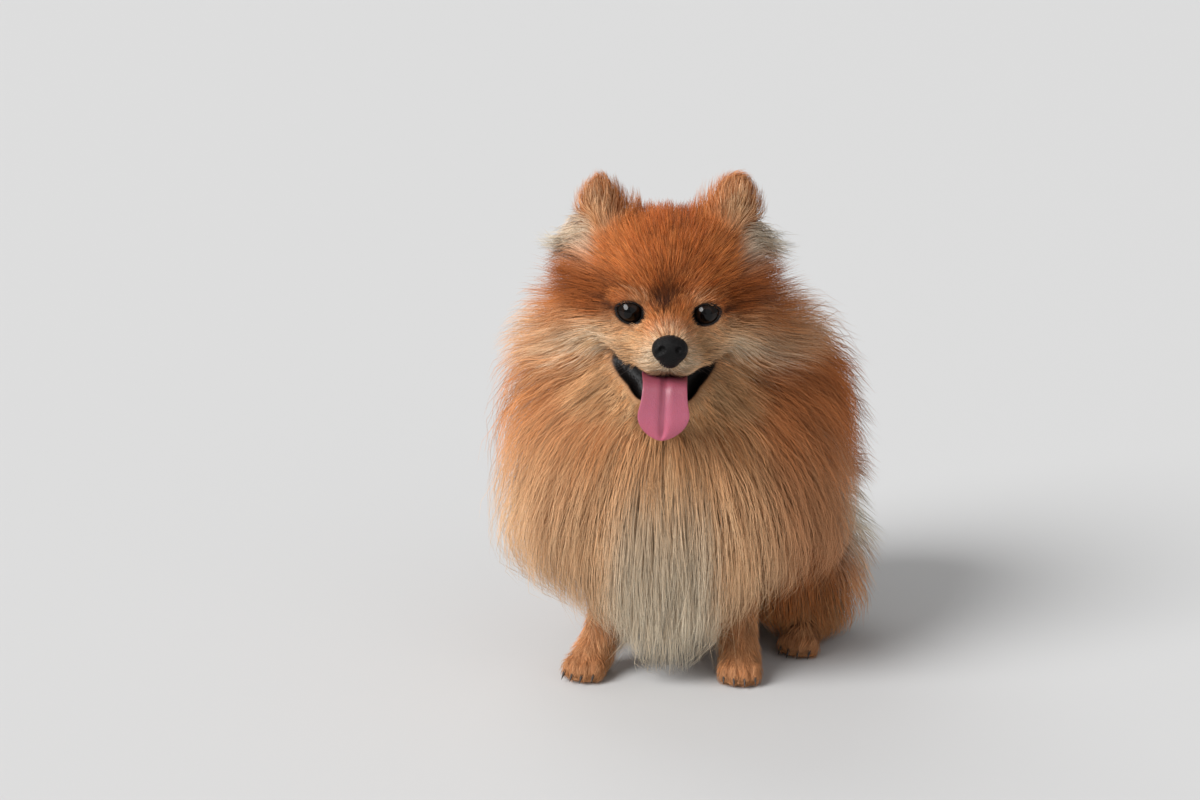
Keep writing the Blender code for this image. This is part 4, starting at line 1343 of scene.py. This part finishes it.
def makeNose(material):
    axes = [np.arange(-reach, reach, nose["step"]) for reach in nose["reach"]]
    cells = np.stack(np.meshgrid(*axes, indexing="ij"), axis=-1)
    field = ballGap(cells, (0, 0.0008, 0.0012), (0.0080, 0.0062, 0.0064))
    field = smoothMin(field, ballGap(cells, (0, 0.0012, -0.0044), (0.0054, 0.0052, 0.0044)), 0.003)
    for side in sides.values():
        field = smoothMin(field, ballGap(cells, (side * 0.0046, 0.0004, 0.0004), (0.0039, 0.0056, 0.0048)), 0.002)
    for side in sides.values():
        nostril = limbGap(cells, (side * 0.0042, -0.0072, 0.0013), (side * 0.0040, -0.0046, 0.0017), 0.0028, 0.0013)
        field = -smoothMin(-field, nostril, 0.0012)
        slit = limbGap(cells, (side * 0.0047, -0.0060, 0.0006), (side * 0.0078, -0.0034, -0.0020), 0.0015, 0.0008)
        field = -smoothMin(-field, slit, 0.0012)
    groove = limbGap(cells, (0, -0.0062, -0.0015), (0, -0.0052, -0.0105), 0.00035, 0.0007)
    field = -smoothMin(-field, groove, 0.0014)
    grid = openvdb.FloatGrid(0.02)
    grid.copyFromArray(field.astype(np.float32))
    points, quads = grid.convertToQuads(isovalue=0.0)
    points = np.stack([np.interp(points[:, i], np.arange(len(axes[i])), axes[i]) for i in range(3)], axis=1)
    points = fromFrame(points + np.array(nose["place"]), "head")
    quads = facesOutward(points, quads.astype(np.int64))
    return finishPiece(meshObject("nose", points, quads), material, ["nose"])


makeNose(leather)

# Tongue: hangs out of the mouth, hollow along the middle and rounded to a spade at the tip
tongue = {
    # Y, Z, half width, half thickness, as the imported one
    "line": (
        (-0.0290, 0.1712, 0.0088, 0.0026), (-0.0430, 0.1712, 0.0108, 0.0021), (-0.0540, 0.1712, 0.0110, 0.0021),
        (-0.0602, 0.1690, 0.0108, 0.0022), (-0.0628, 0.1630, 0.0114, 0.0022), (-0.0640, 0.1560, 0.0126, 0.0021),
        (-0.0642, 0.1505, 0.0108, 0.0019), (-0.0636, 0.1462, 0.0068, 0.0016), (-0.0630, 0.1436, 0.0022, 0.0010),
    ),
    "rings": 64, "around": 44, "groove": 0.0023, "cup": 0.0016, "offset": -0.0012, "lean": -0.0008, "root": 2.6,
}


def smoothLine(values, count):
    # Catmull-Rom through rows of values
    values = np.array(values, float)
    padded = np.concatenate((values[:1] * 2 - values[1:2], values, values[-1:] * 2 - values[-2:-1]))
    at = np.linspace(0, len(values) - 1, count)
    cell = np.minimum(at.astype(int), len(values) - 2)
    t = (at - cell)[:, None]
    p0, p1, p2, p3 = (padded[cell + i] for i in range(4))
    return 0.5 * (2 * p1 + (p2 - p0) * t + (2 * p0 - 5 * p1 + 4 * p2 - p3) * t**2 + (3 * p1 - p0 - 3 * p2 + p3) * t**3)


def makeTongueMaterial(grain):
    material, tree, shader = newMaterial("tongueMaterial")
    grained = placeGroup(tree, grain, Scale=1500.0, Depth=0.4)
    down = addNode(tree, "ShaderNodeAttribute", attribute_name="down")
    ends = addNode(tree, "ShaderNodeValToRGB")
    stops = ends.color_ramp.elements
    stops[0].position, stops[0].color = 0.30, (0.280, 0.062, 0.092, 1)
    stops[1].position, stops[1].color = 0.95, (0.560, 0.115, 0.185, 1)
    middle = ends.color_ramp.elements.new(0.62)
    middle.color = (0.440, 0.105, 0.165, 1)
    tree.links.new(down.outputs["Fac"], ends.inputs[0])
    mottle = mixColour(tree, grained.outputs["Tone"], (0.82, 0.78, 0.80, 1), (1.0, 1.0, 1.0, 1))
    tree.links.new(mixColour(tree, 1.0, ends.outputs[0], mottle, "MULTIPLY"), shader.inputs["Base Color"])
    shader.inputs["Roughness"].default_value = 0.45
    shader.inputs["Coat Weight"].default_value = 0.12
    shader.inputs["Coat Roughness"].default_value = 0.25
    shader.inputs["Subsurface Weight"].default_value = 0.15
    shader.inputs["Subsurface Scale"].default_value = 0.004
    addBump(tree, shader, grained.outputs["Height"], 0.00025)
    return material


def makeTongue(material):
    line = smoothLine(tongue["line"], tongue["rings"])
    middle = np.stack((np.zeros(len(line)), line[:, 0], line[:, 1]), axis=1)
    part = np.linspace(0, 1, len(line))
    middle[:, 0] = tongue["offset"] + tongue["lean"] * part**2
    along = unit(np.gradient(middle, axis=0))
    up = np.cross((1.0, 0.0, 0.0), along)
    up = unit(up)
    angle = np.linspace(0, math.tau, tongue["around"], endpoint=False)
    across, lift = np.cos(angle), np.sin(angle)
    hollow = tongue["groove"] * np.exp(-((across / 0.13) ** 2)) * (lift > 0)
    fade = ramp(part, 0.15, 0.35) * (1 - ramp(part, 0.80, 1.0))
    # The root is thick below, where it lies on the jaw
    root = 1 + tongue["root"] * (1 - ramp(part, 0.20, 0.36))[:, None] * (lift < 0)
    thick = line[:, 3][:, None] * lift * (1 - 0.45 * np.abs(across)) * root - hollow * fade[:, None]
    thick = thick + tongue["cup"] * (across**2)[None] * (1 - ramp(part, 0.55, 0.85))[:, None]
    points = middle[:, None] + up[:, None] * -thick[..., None]
    points[..., 0] += line[:, 2][:, None] * across
    points = fromFrame(points.reshape(-1, 3), "head")
    quads = loftQuads(tongue["rings"], tongue["around"])
    first = points[: tongue["around"]].mean(axis=0)
    points[: tongue["around"]] = first
    points[-tongue["around"] :] = points[-tongue["around"] :].mean(axis=0)
    points, faces = closedPoles(points, quads, tongue["rings"], tongue["around"])
    obj = meshObject("tongue", points, facesOutward(points, faces))
    down = np.repeat(part, tongue["around"])
    setNumbers(obj.data, "down", np.concatenate(([0.0], down[tongue["around"] : -tongue["around"]], [1.0])))
    return finishPiece(obj, material, ["tongue"])


makeTongue(makeTongueMaterial(grainGroup))
print("eyes, nose and tongue done")

# Claws, whiskers and lashes: curved spikes that taper to a point, set on given places by one node tree
spike = {
    "claws": {"Length": 0.0088, "Base Radius": 0.00125, "Bend": 0.30, "Steps": 9, "Around": 12},
    "whiskers": {"Length": 0.0240, "Base Radius": 0.00013, "Bend": 0.22, "Steps": 10, "Around": 5},
    "lashes": {"Length": 0.0034, "Base Radius": 0.00009, "Bend": -0.25, "Steps": 5, "Around": 4},
}


def makeSpikeTree():
    tree = bpy.data.node_groups.new("spikes", "GeometryNodeTree")
    tree.interface.new_socket("Geometry", in_out="INPUT", socket_type="NodeSocketGeometry")
    for label in ("Length", "Base Radius", "Bend"):
        tree.interface.new_socket(label, in_out="INPUT", socket_type="NodeSocketFloat")
    for label in ("Steps", "Around"):
        tree.interface.new_socket(label, in_out="INPUT", socket_type="NodeSocketInt")
    tree.interface.new_socket("Material", in_out="INPUT", socket_type="NodeSocketMaterial")
    tree.interface.new_socket("Geometry", in_out="OUTPUT", socket_type="NodeSocketGeometry")
    given, made = tree.nodes.new("NodeGroupInput"), tree.nodes.new("NodeGroupOutput")

    def vector(y, z):
        node = addNode(tree, "ShaderNodeCombineXYZ")
        for socket, value in (("Y", y), ("Z", z)):
            if isinstance(value, float):
                node.inputs[socket].default_value = value
            else:
                tree.links.new(value, node.inputs[socket])
        return node.outputs[0]

    length = given.outputs["Length"]
    curve = tree.nodes.new("GeometryNodeCurveQuadraticBezier")
    bend = mathNode(tree, "MULTIPLY", mathNode(tree, "MULTIPLY", length, given.outputs["Bend"]), -1.0)
    tree.links.new(given.outputs["Steps"], curve.inputs["Resolution"])
    tree.links.new(vector(0.0, 0.0), curve.inputs["Start"])
    tree.links.new(vector(0.0, mathNode(tree, "MULTIPLY", length, 0.55)), curve.inputs["Middle"])
    tree.links.new(vector(bend, length), curve.inputs["End"])
    part = tree.nodes.new("GeometryNodeSplineParameter")
    thin = mathNode(tree, "MULTIPLY", mathNode(tree, "POWER", part.outputs["Factor"], 1.5), -0.95)
    width = mathNode(tree, "MULTIPLY", mathNode(tree, "ADD", thin, 1.0), given.outputs["Base Radius"])
    ring = tree.nodes.new("GeometryNodeCurvePrimitiveCircle")
    ring.inputs["Radius"].default_value = 1.0
    tree.links.new(given.outputs["Around"], ring.inputs["Resolution"])
    tube = tree.nodes.new("GeometryNodeCurveToMesh")
    tube.inputs["Fill Caps"].default_value = True
    tree.links.new(curve.outputs[0], tube.inputs["Curve"])
    tree.links.new(ring.outputs["Curve"], tube.inputs["Profile Curve"])
    tree.links.new(width, tube.inputs["Scale"])
    turn = addNode(tree, "GeometryNodeInputNamedAttribute", data_type="FLOAT_VECTOR")
    turn.inputs["Name"].default_value = "turn"
    toTurn = tree.nodes.new("FunctionNodeEulerToRotation")
    size = addNode(tree, "GeometryNodeInputNamedAttribute", data_type="FLOAT")
    size.inputs["Name"].default_value = "size"
    tree.links.new(turn.outputs["Attribute"], toTurn.inputs[0])
    instances = tree.nodes.new("GeometryNodeInstanceOnPoints")
    tree.links.new(given.outputs["Geometry"], instances.inputs["Points"])
    tree.links.new(tube.outputs[0], instances.inputs["Instance"])
    tree.links.new(toTurn.outputs[0], instances.inputs["Rotation"])
    tree.links.new(size.outputs["Attribute"], instances.inputs["Scale"])
    real = tree.nodes.new("GeometryNodeRealizeInstances")
    smooth = tree.nodes.new("GeometryNodeSetShadeSmooth")
    paint = tree.nodes.new("GeometryNodeSetMaterial")
    tree.links.new(instances.outputs[0], real.inputs["Geometry"])
    tree.links.new(real.outputs[0], smooth.inputs["Geometry"])
    tree.links.new(smooth.outputs[0], paint.inputs["Geometry"])
    tree.links.new(given.outputs["Material"], paint.inputs["Material"])
    tree.links.new(paint.outputs[0], made.inputs["Geometry"])
    return tree


def spikePiece(name, tree, places, ways, bends, sizes, material):
    # places in the dog's frame, each with its way out, the way it bends and its size
    ways = unit(np.array(ways))
    back = unit(np.array(bends) - ways * np.einsum("ij,ij->i", ways, bends)[:, None])
    turns = [Matrix(np.stack((np.cross(-b, w), -b, w), axis=1).tolist()).to_euler() for w, b in zip(ways, back)]
    mesh = bpy.data.meshes.new(name)
    mesh.vertices.add(len(places))
    mesh.vertices.foreach_set("co", (np.array(places) + dogOrigin).astype(np.float32).ravel())
    layer = mesh.attributes.new("turn", "FLOAT_VECTOR", "POINT")
    layer.data.foreach_set("vector", np.array([tuple(t) for t in turns], np.float32).ravel())
    setNumbers(mesh, "size", np.array(sizes))
    roots = bpy.data.objects.new(name + "Roots", mesh)
    bpy.context.scene.collection.objects.link(roots)
    modifier = roots.modifiers.new("spikes", "NODES")
    modifier.node_group = tree
    values = dict(spike[name], Material=material)
    for socket in tree.interface.items_tree:
        if socket.in_out == "INPUT" and socket.name in values:
            modifier[socket.identifier] = values[socket.name]
    done = roots.evaluated_get(bpy.context.evaluated_depsgraph_get())
    piece = bpy.data.objects.new(name, bpy.data.meshes.new_from_object(done))
    bpy.data.objects.remove(roots)
    bpy.context.scene.collection.objects.link(piece)
    return piece


def ontoSkin(points):
    for _ in range(3):
        found = lookUp(points)
        points = points - unit(found[:, 1:4]) * found[:, :1]
    return points


def makeClaws(tree, material):
    places, ways, names = [], [], []
    for name in sides:
        across, back = haunchPlace[name]
        for number, step in enumerate(toeSteps, 1):
            places.append(fromFrame((step * 0.0051, -0.0146 + 0.0013 * step**2, 0.0075), "paw_" + name))
            ways.append(frames["paw_" + name][0] @ (step * 0.07, -1.0, -0.36))
            names.append(f"claw_front_{name}_{number}")
            hind = (across * 1.14 + step * 0.0051, back - 0.0324 + 0.0012 * step**2, 0.0073)
            places.append(fromFrame(hind, "hind"))
            ways.append(frames["hind"][0] @ (step * 0.07, -1.0, -0.36))
            names.append(f"claw_hind_{name}_{number}")
    downward = np.tile((0.0, 0.0, -1.0), (len(places), 1))
    piece = spikePiece("claws", tree, places, ways, downward, rng.uniform(0.92, 1.08, len(places)), material)
    return finishPiece(piece, material, names)


def makeWhiskers(tree, material):
    places, ways, sizes = [], [], []
    for side in sides.values():
        for row, height in enumerate((0.1845, 0.1818, 0.1790)):
            for column in range(3):
                back = column * 0.0052 + row * 0.0016
                places.append((side * (0.0125 + column * 0.0016), -0.0535 + back, height))
                ways.append((side * (0.75 + column * 0.12), 0.05 + column * 0.28, 0.05 - row * 0.22))
                sizes.append(rng.uniform(0.70, 1.05))
        for step in range(3):
            places.append((side * (0.0150 + step * 0.0028), -0.0270 + step * 0.002, 0.2105))
            ways.append((side * (0.10 + step * 0.25), -0.5, 0.9))
            sizes.append(rng.uniform(0.35, 0.50))
    places = ontoSkin(fromFrame(np.array(places), "head"))
    ways = np.array(ways) @ frames["head"][0].T
    downward = np.tile((0.0, 0.2, -1.0), (len(places), 1))
    piece = spikePiece("whiskers", tree, places, ways, downward, sizes, material)
    return finishPiece(piece, material)


def makeLashes(tree, material):
    places, ways, sizes = [], [], []
    for name, side in sides.items():
        turn = frames["eye_" + name][0]
        edge = lidEdge()
        for index in range(7, 22, 1):
            out = edge[index] / np.linalg.norm(edge[index])
            places.append(fromFrame(edge[index] + out * 0.0004, "eye_" + name))
            ways.append(turn @ (edge[index] * (1.0, 0.0, 1.0) * 90 + (0.0, -0.75, 0.10)))
            sizes.append(rng.uniform(0.45, 0.80))
    upward = np.tile((0.0, 0.0, 1.0), (len(places), 1))
    piece = spikePiece("lashes", tree, places, ways, -upward, sizes, material)
    return finishPiece(piece, material)


spikeTree = makeSpikeTree()
makeClaws(spikeTree, makeLeatherMaterial("clawHorn", grainGroup, (0.030, 0.022, 0.018), 0.36, 700.0, 0.0001, shine=0.40))
whiskerMaterial = makeLeatherMaterial("whiskerHair", grainGroup, (0.020, 0.012, 0.009), 0.45, 900.0, 0.0001, shine=0.30)
makeWhiskers(spikeTree, whiskerMaterial)
makeLashes(spikeTree, whiskerMaterial)
print("claws, whiskers and lashes done")

# Studio
studio = {"camera": (-0.048, -1.190, 0.432), "pitchDeg": 13.9, "lens": 69.0, "floor": 0.58, "world": 0.34}


def makeStudio():
    floor = meshObject(
        "floor", np.array(((-9, -9, 0), (9, -9, 0), (9, 9, 0), (-9, 9, 0)), float), np.array(((0, 1, 2, 3),)), smooth=False
    )
    material, tree, shader = newMaterial("floorMaterial")
    shader.inputs["Base Color"].default_value = (studio["floor"],) * 3 + (1,)
    shader.inputs["Roughness"].default_value = 0.9
    floor.data.materials.append(material)
    world = bpy.data.worlds.new("studio")
    world.use_nodes = True
    world.node_tree.nodes["Background"].inputs[0].default_value = (1, 1, 1, 1)
    world.node_tree.nodes["Background"].inputs[1].default_value = studio["world"]
    bpy.context.scene.world = world
    lights = {
        # from where, how wide in degrees, how strong
        "keyLight": ((-1.25, -0.95, 1.20), 34.0, 3.7),
        "fillLight": ((0.8, -1.4, 0.9), 60.0, 0.28),
        "backLight": ((-0.6, 1.4, 1.5), 40.0, 0.6),
    }
    for name, (place, wide, strength) in lights.items():
        lamp = bpy.data.lights.new(name, "SUN")
        lamp.angle = math.radians(wide)
        lamp.energy = strength
        obj = bpy.data.objects.new(name, lamp)
        obj.matrix_world = Matrix.Translation(place) @ vectorTurn(-np.array(place))
        bpy.context.scene.collection.objects.link(obj)
    camera = bpy.data.objects.new("camera", bpy.data.cameras.new("camera"))
    camera.data.lens = studio["lens"]
    camera.location = studio["camera"]
    camera.rotation_euler = (math.radians(90 - studio["pitchDeg"]), 0, 0)
    bpy.context.scene.collection.objects.link(camera)
    bpy.context.scene.camera = camera
    bpy.context.scene.view_settings.view_transform = "Standard"


def vectorTurn(direction):
    return Vector(direction).to_track_quat("-Z", "Y").to_matrix().to_4x4()


makeStudio()
